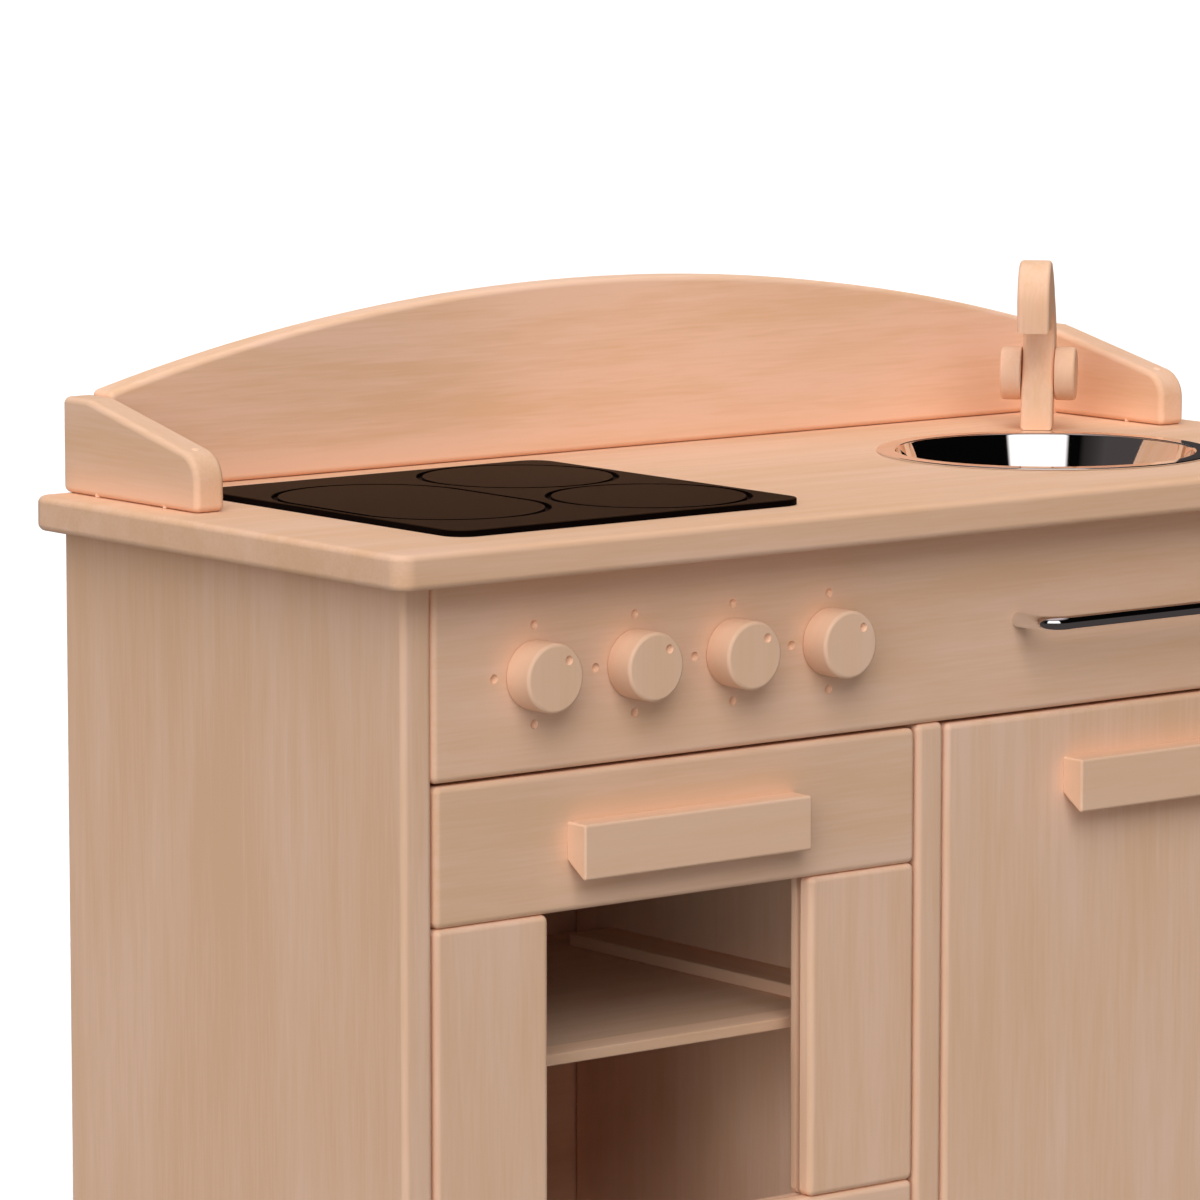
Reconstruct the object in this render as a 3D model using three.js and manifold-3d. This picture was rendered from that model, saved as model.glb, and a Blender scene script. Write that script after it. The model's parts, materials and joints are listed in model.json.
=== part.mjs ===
// Wooden toy kitchen: an oven bay and a sink cupboard under one worktop, with a control
// panel, a hob plate, a steel sink bowl, a swivelling wooden tap and an arched backsplash.
// Millimetres. +X is to the right, the front faces -Y and +Z is up. Z = 0 is the floor.
import * as THREE from 'three';
import { mergeVertices } from 'three/addons/utils/BufferGeometryUtils.js';
import Module from 'manifold-3d';

const wasm = await Module();
wasm.setup();

// ---- Boards and clearances --------------------------------------------------------------
const board = 18;                 // thickness of the solid wooden boards
const seam = 0.1;                 // clearance between two faces that are glued or screwed
const fit = 0.3;                  // clearance round a pin, a screw or an inlaid piece
const runningGap = 0.5;           // clearance behind a knob that turns

// ---- Cabinet ----------------------------------------------------------------------------
const bayWidth = 314;             // clear width of the oven bay and of the cupboard bay
const bodyDepth = 295;
const plinthHeight = 50;
const plinthSetback = 30;
const backPanelThickness = 6;
const controlPanelHeight = 100;
const stopRailHeight = 40;
const stopRailDrop = 16;          // how far a stop rail reaches down behind its door
const stopRailEndGap = 25;        // from the bay's wall; leaves room for the door's hinged edge to swing
const shelfThickness = 6;
const shelfSetback = 28.5;        // from the front of the cabinet to the shelf's front edge
const shelfTopDrop = 149;         // from the top of the doors down to the top of the shelf
const cleatWidth = 30;
const cleatThickness = 7;
const cleatEndInset = 34;

// ---- Doors ------------------------------------------------------------------------------
const doorHeight = 309;
const doorSideGap = 1.5;
const doorTopGap = 1.6;
const doorEdgeRadius = 3;
const frameMemberWidth = 70.7;    // rails and stiles of the oven door
const paneThickness = 3;
const paneEngagement = 5;         // how far the pane reaches into its grooves
const paneSetback = 10;           // from the front of the door to the middle of the pane
const pinRadius = 2.5;
const pinEngagement = 10;         // how far a hinge pin reaches into each piece
const ovenPinRise = 6;            // hinge axis above the lower edge of the oven door
const cupboardPinSetback = 6;     // hinge axis behind the front of the cupboard door
const cupboardPinInset = 9;       // hinge axis from the hinged edge of the cupboard door
const handleWidth = 147;
const handleDepth = 14.3;
const handleFrontHeight = 29.6;
const handleBackHeight = 20;
const handleTopDrop = 25;         // from the top of the door to the top of its handle
const handleScrewInset = 25.5;    // from each end of the handle to its screw
const magnetRadius = 5;
const magnetThickness = 4;
const strikeThickness = 2;
const magnetDrop = 8;             // from the top of the door to the middle of its magnet

// ---- Worktop, backsplash and wings ------------------------------------------------------
const overhangSide = 20;
const overhangFront = 25;
const worktopCornerRadius = 10;
const applianceOutset = 19;       // hob and sink from the middle of the bay below, outwards
const splashEndHeight = 52;
const splashPeakHeight = 94;
const wingDepth = 121;
const wingBackHeight = 50;
const wingFlatLength = 23;
const wingFrontHeight = 28;       // height where the sloping edge would meet the front edge
const wingCornerRadius = 16;
const dowelRadius = 4;
const dowelEngagement = 12;
const wingDowelInset = 30;        // from a wing's front or back edge to the nearer dowel

// ---- Hob and sink -----------------------------------------------------------------------
const hobSize = 224;
const hobThickness = 3.5;
const hobCornerRadius = 13;
const hobCentreY = 126;
const sinkCentreY = 119;
const sinkRadius = 82;
const sinkFlangeWidth = 10;
const sinkDepth = 58;
const sinkWallLean = THREE.MathUtils.degToRad(18);   // the bowl's wall opens upwards
const sinkBottomRadius = 24;
const sinkSheet = 1.2;

// ---- Tap --------------------------------------------------------------------------------
const tapAside = 71.8;            // swivel axis to the right of the sink's middle
const tapBehind = 86.0;           // swivel axis behind the sink's middle
const tapTurn = THREE.MathUtils.degToRad(-46.5);   // the spout points to the front left
const tapHeight = 96.5;
const tapArchHeight = 65;         // underside of the bend between neck and spout
const tapFootDepth = 15;
const tapBandWidth = 17.5;        // width of the bent band, seen from the side
const tapNeckBack = -24;          // rearmost edge of the neck, behind the swivel axis
const tapNeckHeight = 51;         // height of the rearmost edge
const tapSpoutFront = 36.5;       // foremost edge of the spout, ahead of the swivel axis
const tapSpoutNose = 74;          // height of the foremost edge
const tapSpoutEnd = 57;           // height of the spout's open end
const tapDowelRadius = 5;
const tapDowelRise = 10;
const tapRetainerRadius = 12;
const tapRetainerThickness = 5;
const tapKnobRadius = 15;
const tapKnobThickness = 11.6;
const tapKnobHeight = 30.5;
const tapKnobBack = 10;           // the cross axle sits this far behind the swivel axis
const tapAxleRadius = 3;
const tapAxleEngagement = 8;

// ---- Control knobs and towel rail -------------------------------------------------------
const fittingsDrop = 1;           // knobs and towel rail below the middle of the control panel
const knobCount = 4;
const knobPitch = 63.4;
const knobRowOffset = 0.8;        // the row sits this far right of the middle of the oven bay
const knobRadius = 17.5;
const knobHeight = 17.5;
const knobEdgeRadius = 3;
const knobScrewRadius = 2;
const knobScrewEngagement = 11;
const screwHeadRadius = 4.5;
const screwHeadThickness = 2.5;
const railRadius = 4;
const railSpan = 214;             // between the middles of the towel rail's two legs
const railStandoff = 26;          // from the panel to the middle of the bar
const railBendRadius = 12;
const railScrewEngagement = 10;

// ---- Levels and places that follow from the sizes above ---------------------------------
const bodyWidth = 2 * bayWidth + 3 * board;
const innerHalf = bodyWidth / 2 - board;
const bayCentre = (board + bayWidth) / 2;
const backPanelFront = bodyDepth - backPanelThickness;
const floorBoardTop = plinthHeight + board;
const ovenPinSetback = board / 2;
const doorBottomGap = ovenPinSetback - ovenPinRise + fit;   // the opened oven door rests here
const doorWidth = bayWidth - 2 * doorSideGap;
const doorBottom = floorBoardTop + doorBottomGap;
const doorTop = doorBottom + doorHeight;
const panelBottom = doorTop + doorTopGap;
const panelTop = panelBottom + controlPanelHeight;
const fittingsHeight = (panelBottom + panelTop) / 2 - fittingsDrop;
const worktopBottom = panelTop + seam;
const worktopTop = worktopBottom + board;
const applianceOffset = bayCentre + applianceOutset;
const tapX = applianceOffset + tapAside;
const tapY = sinkCentreY + tapBehind;
const wingFront = bodyDepth - wingDepth;
const shelfTop = doorTop - shelfTopDrop;
const ovenPinHeight = doorBottom + ovenPinRise;
const cupboardPinX = bayCentre + doorWidth / 2 - cupboardPinInset;
const magnetHeight = doorTop - magnetDrop;
const frontReach = Math.max(overhangFront, railStandoff + railRadius, knobHeight + runningGap);

// ---- Materials --------------------------------------------------------------------------
const beech = new THREE.MeshStandardMaterial({ color: 0xd9b592, roughness: 0.55, metalness: 0 });
const plywood = new THREE.MeshStandardMaterial({ color: 0xcfa981, roughness: 0.65, metalness: 0 });
const darkPlate = new THREE.MeshStandardMaterial({ color: 0x33231c, roughness: 0.35, metalness: 0 });
const polishedSteel = new THREE.MeshStandardMaterial({ color: 0xd8d8d8, roughness: 0.08, metalness: 1 });
const chrome = new THREE.MeshStandardMaterial({ color: 0xe4e4e4, roughness: 0.05, metalness: 1 });
const screwSteel = new THREE.MeshStandardMaterial({ color: 0xb5b5b5, roughness: 0.35, metalness: 1 });
const magnetMetal = new THREE.MeshStandardMaterial({ color: 0x8f9194, roughness: 0.3, metalness: 1 });
const clearPane = new THREE.MeshStandardMaterial({ color: 0xe8eef0, roughness: 0.05, metalness: 0 });

const pinSegments = 16;
const knobSegments = 24;
const AXIS_X = new THREE.Vector3(1, 0, 0);
const AXIS_Y = new THREE.Vector3(0, 1, 0);
const AXIS_Z = new THREE.Vector3(0, 0, 1);

// ---- Making and cutting pieces ----------------------------------------------------------

// A box between two opposite corners.
function block(name, material, low, high) {
  const size = high.map((value, i) => value - low[i]);
  const mesh = new THREE.Mesh(new THREE.BoxGeometry(...size), material);
  mesh.position.set(...low.map((value, i) => value + size[i] / 2));
  mesh.name = name;
  return mesh;
}

// A round rod from one point to another.
function rod(name, material, radius, from, to, segments = pinSegments) {
  const start = new THREE.Vector3(...from);
  const along = new THREE.Vector3(...to).sub(start);
  const mesh = new THREE.Mesh(new THREE.CylinderGeometry(radius, radius, along.length(), segments), material);
  mesh.position.copy(start).addScaledVector(along, 0.5);
  mesh.quaternion.setFromUnitVectors(AXIS_Y, along.clone().normalize());
  mesh.name = name;
  return mesh;
}

// A turned piece: the profile's points are [radius, distance along the axis].
function turned(name, material, profile, origin, direction, segments = knobSegments) {
  const points = profile.map(([radius, along]) => new THREE.Vector2(radius, along));
  const mesh = new THREE.Mesh(new THREE.LatheGeometry(points, segments), material);
  mesh.position.set(...origin);
  mesh.quaternion.setFromUnitVectors(AXIS_Y, direction);
  mesh.name = name;
  return mesh;
}

// A flat piece cut from an outline whose two axes become the given world directions.
function sawn(name, material, outline, thickness, right, up, origin, holes = []) {
  const shape = new THREE.Shape(outline);
  shape.holes = holes.map((hole) => new THREE.Path(hole));
  const geometry = new THREE.ExtrudeGeometry(shape, { depth: thickness, bevelEnabled: false });
  const through = new THREE.Vector3().crossVectors(right, up);
  geometry.applyMatrix4(new THREE.Matrix4().makeBasis(right, up, through));
  const mesh = new THREE.Mesh(geometry, material);
  mesh.position.set(...origin);
  mesh.name = name;
  return mesh;
}

function solidOf(mesh) {
  mesh.updateMatrix();
  const open = mesh.geometry.clone().applyMatrix4(mesh.matrix);
  open.deleteAttribute('normal');
  open.deleteAttribute('uv');
  const merged = mergeVertices(open);
  return new wasm.Manifold(new wasm.Mesh({
    numProp: 3,
    vertProperties: new Float32Array(merged.attributes.position.array),
    triVerts: new Uint32Array(merged.index.array),
  }));
}

// Takes the cutters out of a piece. All of them are placed in the same parent frame.
function carve(mesh, ...cutters) {
  const solid = cutters.reduce((left, cutter) => left.subtract(solidOf(cutter)), solidOf(mesh));
  const cut = solid.getMesh();
  const geometry = new THREE.BufferGeometry();
  geometry.setAttribute('position', new THREE.BufferAttribute(cut.vertProperties, 3));
  geometry.setIndex(new THREE.BufferAttribute(cut.triVerts, 1));
  geometry.applyMatrix4(mesh.matrix.clone().invert());
  geometry.computeVertexNormals();
  mesh.geometry = geometry;
  return mesh;
}

// Points along an arc, in degrees, from the first angle to the last.
function arc(centreX, centreY, radius, fromDegrees, toDegrees, steps) {
  return Array.from({ length: steps + 1 }, (_, i) => {
    const angle = THREE.MathUtils.degToRad(fromDegrees + (toDegrees - fromDegrees) * i / steps);
    return new THREE.Vector2(centreX + radius * Math.cos(angle), centreY + radius * Math.sin(angle));
  });
}

function circle(centreX, centreY, radius, segments) {
  return arc(centreX, centreY, radius, 0, 360, segments).slice(0, -1);
}

// A rectangle with round corners, given by its two opposite corners.
function roundedRectangle(left, bottom, right, top, radius, steps) {
  return [
    ...arc(right - radius, bottom + radius, radius, -90, 0, steps),
    ...arc(right - radius, top - radius, radius, 0, 90, steps),
    ...arc(left + radius, top - radius, radius, 90, 180, steps),
    ...arc(left + radius, bottom + radius, radius, 180, 270, steps),
  ];
}

// A pan-head screw whose head sits at the origin and whose shank points along the direction.
function screw(name, radius, length, origin, direction) {
  const profile = [
    [0, -screwHeadThickness],
    [screwHeadRadius, -screwHeadThickness],
    [screwHeadRadius, 0],
    [radius, 0],
    [radius, length],
    [0, length],
  ];
  return turned(name, screwSteel, profile, origin, direction, pinSegments);
}

// ---- Cabinet ----------------------------------------------------------------------------

function pinHole(from, to) {
  return rod('pin_hole', beech, pinRadius + fit, from, to);
}

function ovenPinEnds(side) {
  const wallFace = -bayCentre + side * bayWidth / 2;
  const doorFace = -bayCentre + side * doorWidth / 2;
  const place = (x) => [x, ovenPinSetback, ovenPinHeight];
  return {
    inWall: place(wallFace + side * pinEngagement),
    inDoor: place(doorFace - side * pinEngagement),
    wallHoleEnd: place(wallFace + side * (pinEngagement + fit)),
    doorHoleEnd: place(doorFace - side * (pinEngagement + fit)),
  };
}

function cupboardPinEnds(top) {
  const fixedFace = top ? panelBottom : floorBoardTop;
  const doorFace = top ? doorTop : doorBottom;
  const away = top ? 1 : -1;
  const place = (z) => [cupboardPinX, cupboardPinSetback, z];
  return {
    inFrame: place(fixedFace + away * pinEngagement),
    inDoor: place(doorFace - away * pinEngagement),
    frameHoleEnd: place(fixedFace + away * (pinEngagement + fit)),
    doorHoleEnd: place(doorFace - away * (pinEngagement + fit)),
  };
}

function makeSidePanel(name, side) {
  const inner = side * innerHalf;
  const outer = side * bodyWidth / 2;
  const low = [Math.min(inner, outer), 0, 0];
  const high = [Math.max(inner, outer), bodyDepth, worktopBottom - seam];
  return block(name, beech, low, high);
}

// The left side panel also carries one hinge pin of the oven door.
function makeLeftSidePanel() {
  const pin = ovenPinEnds(-1);
  return carve(makeSidePanel('side_panel_left', -1), pinHole(pin.inDoor, pin.wallHoleEnd));
}

function makeDivider() {
  const divider = block('centre_divider', beech,
    [-board / 2, 0, floorBoardTop + seam],
    [board / 2, backPanelFront - seam, worktopBottom - seam]);
  const notch = block('notch', beech,
    [-board, -board, panelBottom - seam],
    [board, board + seam, worktopTop]);
  const pin = ovenPinEnds(1);
  return carve(divider, notch, pinHole(pin.inDoor, pin.wallHoleEnd));
}

function makeBottomBoard() {
  const bottom = block('bottom_board', beech,
    [-innerHalf + seam, 0, plinthHeight],
    [innerHalf - seam, backPanelFront - seam, floorBoardTop]);
  const pin = cupboardPinEnds(false);
  return carve(bottom, pinHole(pin.frameHoleEnd, pin.inDoor));
}

function makePlinth() {
  return block('plinth_board', beech,
    [-innerHalf + seam, plinthSetback, 0],
    [innerHalf - seam, plinthSetback + board, plinthHeight - seam]);
}

function makeBackPanel() {
  return block('back_panel', plywood,
    [-innerHalf + seam, backPanelFront, plinthHeight],
    [innerHalf - seam, bodyDepth, worktopBottom - seam]);
}

// A rail behind the control panel that stops one door and holds its magnet.
function makeStopRail(name, bay) {
  const middle = bay * bayCentre;
  const front = board + fit;
  const rail = block(name, beech,
    [middle - bayWidth / 2 + stopRailEndGap, front, doorTop - stopRailDrop],
    [middle + bayWidth / 2 - stopRailEndGap, front + board, doorTop - stopRailDrop + stopRailHeight]);
  const pocket = rod('pocket', beech, magnetRadius + fit,
    [middle, front - board, magnetHeight],
    [middle, front + magnetThickness + fit, magnetHeight]);
  return carve(rail, pocket);
}

function makeMagnet(name, bay) {
  const front = board + fit;
  return rod(name, magnetMetal, magnetRadius,
    [bay * bayCentre, front, magnetHeight],
    [bay * bayCentre, front + magnetThickness, magnetHeight]);
}

function makeShelf() {
  return block('oven_shelf', plywood,
    [-bayCentre - bayWidth / 2 + seam, shelfSetback, shelfTop - shelfThickness],
    [-bayCentre + bayWidth / 2 - seam, backPanelFront - seam, shelfTop]);
}

// A cleat lies on the shelf along one wall of the oven and holds the shelf to that wall.
function makeShelfCleat(name, side) {
  const wall = -bayCentre + side * (bayWidth / 2 - seam);
  const free = wall - side * cleatWidth;
  return block(name, plywood,
    [Math.min(wall, free), shelfSetback + cleatEndInset, shelfTop + seam],
    [Math.max(wall, free), backPanelFront - cleatEndInset, shelfTop + seam + cleatThickness]);
}

// ---- Control panel, knobs and towel rail ------------------------------------------------

function knobX(index) {
  return -bayCentre + knobRowOffset + (index - (knobCount - 1) / 2) * knobPitch;
}

function railLegX(side) {
  return bayCentre + side * railSpan / 2;
}

function makeControlPanel() {
  const panel = block('control_panel', beech,
    [-innerHalf + seam, 0, panelBottom],
    [innerHalf - seam, board, panelTop]);
  const bore = (x) => rod('bore', beech, knobScrewRadius + fit,
    [x, -board, fittingsHeight], [x, 2 * board, fittingsHeight]);
  const bores = Array.from({ length: knobCount }, (_, i) => bore(knobX(i)));
  const pin = cupboardPinEnds(true);
  return carve(panel, ...bores, bore(railLegX(-1)), bore(railLegX(1)), pinHole(pin.inDoor, pin.frameHoleEnd));
}

function makeKnob(index) {
  const bore = knobScrewRadius + fit;
  const profile = [
    [0, knobScrewEngagement + fit],
    [bore, knobScrewEngagement + fit],
    [bore, 0],
    [knobRadius, 0],
    ...arc(knobRadius - knobEdgeRadius, knobHeight - knobEdgeRadius, knobEdgeRadius, 0, 90, 4)
      .map((point) => [point.x, point.y]),
    [0, knobHeight],
  ];
  const origin = [knobX(index), -runningGap, fittingsHeight];
  return turned(`control_knob_${index + 1}`, beech, profile, origin, AXIS_Y.clone().negate());
}

function makeKnobScrew(index) {
  const back = board + runningGap;
  const length = back + runningGap + knobScrewEngagement;
  const origin = [knobX(index), back, fittingsHeight];
  return screw(`knob_screw_${index + 1}`, knobScrewRadius, length, origin, AXIS_Y.clone().negate());
}

function makeTowelRail() {
  const left = railLegX(-1);
  const right = railLegX(1);
  const corner = railStandoff - railBendRadius;
  const at = (x, out) => new THREE.Vector3(x, -out, fittingsHeight);
  const path = new THREE.CurvePath();
  path.add(new THREE.LineCurve3(at(left, seam), at(left, corner)));
  path.add(new THREE.QuadraticBezierCurve3(
    at(left, corner), at(left, railStandoff), at(left + railBendRadius, railStandoff)));
  path.add(new THREE.LineCurve3(
    at(left + railBendRadius, railStandoff), at(right - railBendRadius, railStandoff)));
  path.add(new THREE.QuadraticBezierCurve3(
    at(right - railBendRadius, railStandoff), at(right, railStandoff), at(right, corner)));
  path.add(new THREE.LineCurve3(at(right, corner), at(right, seam)));
  const section = new THREE.Shape(circle(0, 0, railRadius, 10));
  const geometry = new THREE.ExtrudeGeometry(section, { steps: 60, extrudePath: path });
  const rail = new THREE.Mesh(geometry, chrome);
  rail.name = 'towel_rail';
  const bore = (x) => rod('bore', chrome, knobScrewRadius + fit,
    [x, board, fittingsHeight], [x, -railScrewEngagement - fit, fittingsHeight]);
  return carve(rail, bore(left), bore(right));
}

function makeRailScrew(name, side) {
  const origin = [railLegX(side), board + seam, fittingsHeight];
  return screw(name, knobScrewRadius, board + seam + railScrewEngagement, origin, AXIS_Y.clone().negate());
}

// ---- Doors ------------------------------------------------------------------------------

function makeHandle(name, bay) {
  const outline = [
    new THREE.Vector2(0, 0),
    new THREE.Vector2(0, -handleBackHeight),
    new THREE.Vector2(-handleDepth, -handleFrontHeight),
    new THREE.Vector2(-handleDepth, 0),
  ];
  const middle = bay * bayCentre;
  const origin = [middle - handleWidth / 2, -seam, doorTop - handleTopDrop];
  const handle = sawn(name, beech, outline.reverse(), handleWidth, AXIS_Y, AXIS_Z, origin);
  return carve(handle, ...[-1, 1].map((side) => handleBore(middle, side)));
}

function handleScrewPlace(middle, side) {
  const x = middle + side * (handleWidth / 2 - handleScrewInset);
  return [x, doorTop - handleTopDrop - handleBackHeight / 2];
}

function handleBore(middle, side) {
  const [x, z] = handleScrewPlace(middle, side);
  return rod('bore', beech, knobScrewRadius + fit, [x, 2 * board, z], [x, -knobScrewEngagement - fit, z]);
}

function makeHandleScrew(name, bay, side) {
  const [x, z] = handleScrewPlace(bay * bayCentre, side);
  const length = board + seam + knobScrewEngagement;
  return screw(name, knobScrewRadius, length, [x, board + seam, z], AXIS_Y.clone().negate());
}

function strikePocket(bay) {
  return rod('pocket', beech, magnetRadius + fit,
    [bay * bayCentre, board - strikeThickness - fit, magnetHeight],
    [bay * bayCentre, 2 * board, magnetHeight]);
}

function makeStrike(name, bay) {
  return rod(name, magnetMetal, magnetRadius,
    [bay * bayCentre, board - strikeThickness, magnetHeight],
    [bay * bayCentre, board, magnetHeight]);
}

function ovenPaneBlock(name, clearance) {
  const halfWidth = doorWidth / 2 - frameMemberWidth + paneEngagement + clearance;
  const halfHeight = doorHeight / 2 - frameMemberWidth + paneEngagement + clearance;
  const middle = doorBottom + doorHeight / 2;
  return block(name, clearPane,
    [-bayCentre - halfWidth, paneSetback - paneThickness / 2 - clearance, middle - halfHeight],
    [-bayCentre + halfWidth, paneSetback + paneThickness / 2 + clearance, middle + halfHeight]);
}

function makeOvenTopRail() {
  const left = -bayCentre - doorWidth / 2;
  const rail = block('oven_door_top_rail', beech,
    [left, 0, doorTop - frameMemberWidth + seam],
    [left + doorWidth, board, doorTop]);
  const bores = [-1, 1].map((side) => handleBore(-bayCentre, side));
  return carve(rail, ovenPaneBlock('groove', fit), strikePocket(-1), ...bores);
}

// The lower front edge is rounded about the hinge so that the rail clears the bottom board.
function makeOvenBottomRail() {
  const left = -bayCentre - doorWidth / 2;
  const top = doorBottom + frameMemberWidth - seam;
  const outline = [
    new THREE.Vector2(board, doorBottom),
    new THREE.Vector2(board, top),
    new THREE.Vector2(0, top),
    ...arc(ovenPinRise, doorBottom + ovenPinRise, ovenPinRise, 180, 270, 6),
  ];
  const rail = sawn('oven_door_bottom_rail', beech, outline, doorWidth, AXIS_Y, AXIS_Z, [left, 0, 0]);
  const pins = [-1, 1].map((side) => ovenPinEnds(side));
  const pinHoles = pins.map((pin) => pinHole(pin.inWall, pin.doorHoleEnd));
  return carve(rail, ovenPaneBlock('groove', fit), ...pinHoles);
}

function makeOvenStile(name, side) {
  const outer = -bayCentre + side * doorWidth / 2;
  const inner = outer - side * frameMemberWidth;
  const stile = block(name, beech,
    [Math.min(outer, inner), 0, doorBottom + frameMemberWidth],
    [Math.max(outer, inner), board, doorTop - frameMemberWidth]);
  return carve(stile, ovenPaneBlock('groove', fit));
}

function makeOvenPin(name, side) {
  const pin = ovenPinEnds(side);
  return rod(name, screwSteel, pinRadius, pin.inWall, pin.inDoor);
}

function makeCupboardPanel() {
  const left = bayCentre - doorWidth / 2;
  const outline = roundedRectangle(left, 0, left + doorWidth, board, doorEdgeRadius, 4);
  const panel = sawn('cupboard_door_panel', beech, outline, doorHeight, AXIS_X, AXIS_Y, [0, 0, doorBottom]);
  const pins = [true, false].map((top) => cupboardPinEnds(top));
  const bores = [-1, 1].map((side) => handleBore(bayCentre, side));
  return carve(panel, ...pins.map((pin) => pinHole(pin.inFrame, pin.doorHoleEnd)), strikePocket(1), ...bores);
}

function makeCupboardPin(name, top) {
  const pin = cupboardPinEnds(top);
  return rod(name, screwSteel, pinRadius, pin.inFrame, pin.inDoor);
}

// ---- Worktop, backsplash, wings, hob and sink -------------------------------------------

function wingDowelPlaces() {
  return [wingFront + wingDowelInset, bodyDepth - wingDowelInset];
}

function wingMiddleX(side) {
  return side * (innerHalf + board / 2);
}

function wingDowelHole(side, y) {
  const x = wingMiddleX(side);
  const reach = dowelEngagement + fit;
  return rod('dowel_hole', beech, dowelRadius + fit, [x, y, worktopTop - reach], [x, y, worktopTop + reach]);
}

function makeWingDowel(name, side, y) {
  const x = wingMiddleX(side);
  return rod(name, beech, dowelRadius,
    [x, y, worktopTop - dowelEngagement], [x, y, worktopTop + dowelEngagement]);
}

function makeWorktop() {
  const halfWidth = bodyWidth / 2 + overhangSide;
  const outline = roundedRectangle(-halfWidth, -overhangFront, halfWidth, bodyDepth, worktopCornerRadius, 5);
  const holes = [
    circle(applianceOffset, sinkCentreY, sinkRadius + sinkSheet + fit, 48).reverse(),
    circle(tapX, tapY, tapDowelRadius + fit, pinSegments).reverse(),
  ];
  const worktop = sawn('worktop', beech, outline, board, AXIS_X, AXIS_Y, [0, 0, worktopBottom], holes);
  const dowels = [-1, 1].flatMap((side) => wingDowelPlaces().map((y) => wingDowelHole(side, y)));
  return carve(worktop, ...dowels);
}

// The top edge is one arc through both ends and the peak.
function makeBacksplash() {
  const halfWidth = innerHalf - seam;
  const rise = splashPeakHeight - splashEndHeight;
  const radius = (halfWidth ** 2 + rise ** 2) / (2 * rise);
  const halfAngle = THREE.MathUtils.radToDeg(Math.asin(halfWidth / radius));
  const outline = [
    new THREE.Vector2(-halfWidth, 0),
    new THREE.Vector2(halfWidth, 0),
    ...arc(0, splashPeakHeight - radius, radius, 90 - halfAngle, 90 + halfAngle, 36),
  ];
  return sawn('backsplash', beech, outline, board, AXIS_X, AXIS_Z, [0, bodyDepth, worktopTop + seam]);
}

// A wing slopes down to the front and turns into its front edge with one round corner.
function makeWing(name, side) {
  const slope = Math.atan2(wingBackHeight - wingFrontHeight, wingDepth - wingFlatLength);
  const tangent = wingCornerRadius * Math.tan((Math.PI / 2 - slope) / 2);
  const slopeDegrees = THREE.MathUtils.radToDeg(slope);
  const outline = [
    new THREE.Vector2(wingFront, 0),
    new THREE.Vector2(bodyDepth, 0),
    new THREE.Vector2(bodyDepth, wingBackHeight),
    new THREE.Vector2(bodyDepth - wingFlatLength, wingBackHeight),
    ...arc(wingFront + wingCornerRadius, wingFrontHeight - tangent, wingCornerRadius,
      90 + slopeDegrees, 180, 6),
  ];
  const left = wingMiddleX(side) - board / 2;
  const wing = sawn(name, beech, outline, board, AXIS_Y, AXIS_Z, [left, 0, worktopTop + seam]);
  return carve(wing, ...wingDowelPlaces().map((y) => wingDowelHole(side, y)));
}

function makeHob() {
  const half = hobSize / 2;
  const outline = roundedRectangle(-half, -half, half, half, hobCornerRadius, 8);
  const origin = [-applianceOffset, hobCentreY, worktopTop + seam];
  return sawn('hob_plate', darkPlate, outline, hobThickness, AXIS_X, AXIS_Y, origin);
}

// The bowl hangs in the worktop by a flat flange. Heights are measured from the flange's top.
function makeSinkBowl() {
  const flange = sinkRadius + sinkFlangeWidth;
  const floorZ = -sinkDepth;
  const bendZ = floorZ + sinkBottomRadius;
  const sine = Math.sin(sinkWallLean);
  const cosine = Math.cos(sinkWallLean);
  const floorRadius = sinkRadius - (sinkBottomRadius - bendZ * sine) / cosine;
  const wallOutside = sinkRadius + sinkSheet * (cosine - (1 - sine) * sine / cosine);
  const lean = THREE.MathUtils.radToDeg(sinkWallLean);
  const inner = arc(floorRadius, bendZ, sinkBottomRadius, -lean, -90, 5);
  const outer = arc(floorRadius, bendZ, sinkBottomRadius + sinkSheet, -90, -lean, 5);
  const profile = [
    [0, floorZ - sinkSheet],
    ...outer.map((point) => [point.x, point.y]),
    [wallOutside, -sinkSheet],
    [flange, -sinkSheet],
    [flange, 0],
    [sinkRadius, 0],
    ...inner.map((point) => [point.x, point.y]),
    [0, floorZ],
  ];
  const origin = [applianceOffset, sinkCentreY, worktopTop + seam + sinkSheet];
  return turned('sink_bowl', polishedSteel, profile, origin, AXIS_Z, 40);
}

// ---- Tap, in its own frame: it swivels about Z and its spout points to -Y ----------------

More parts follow.
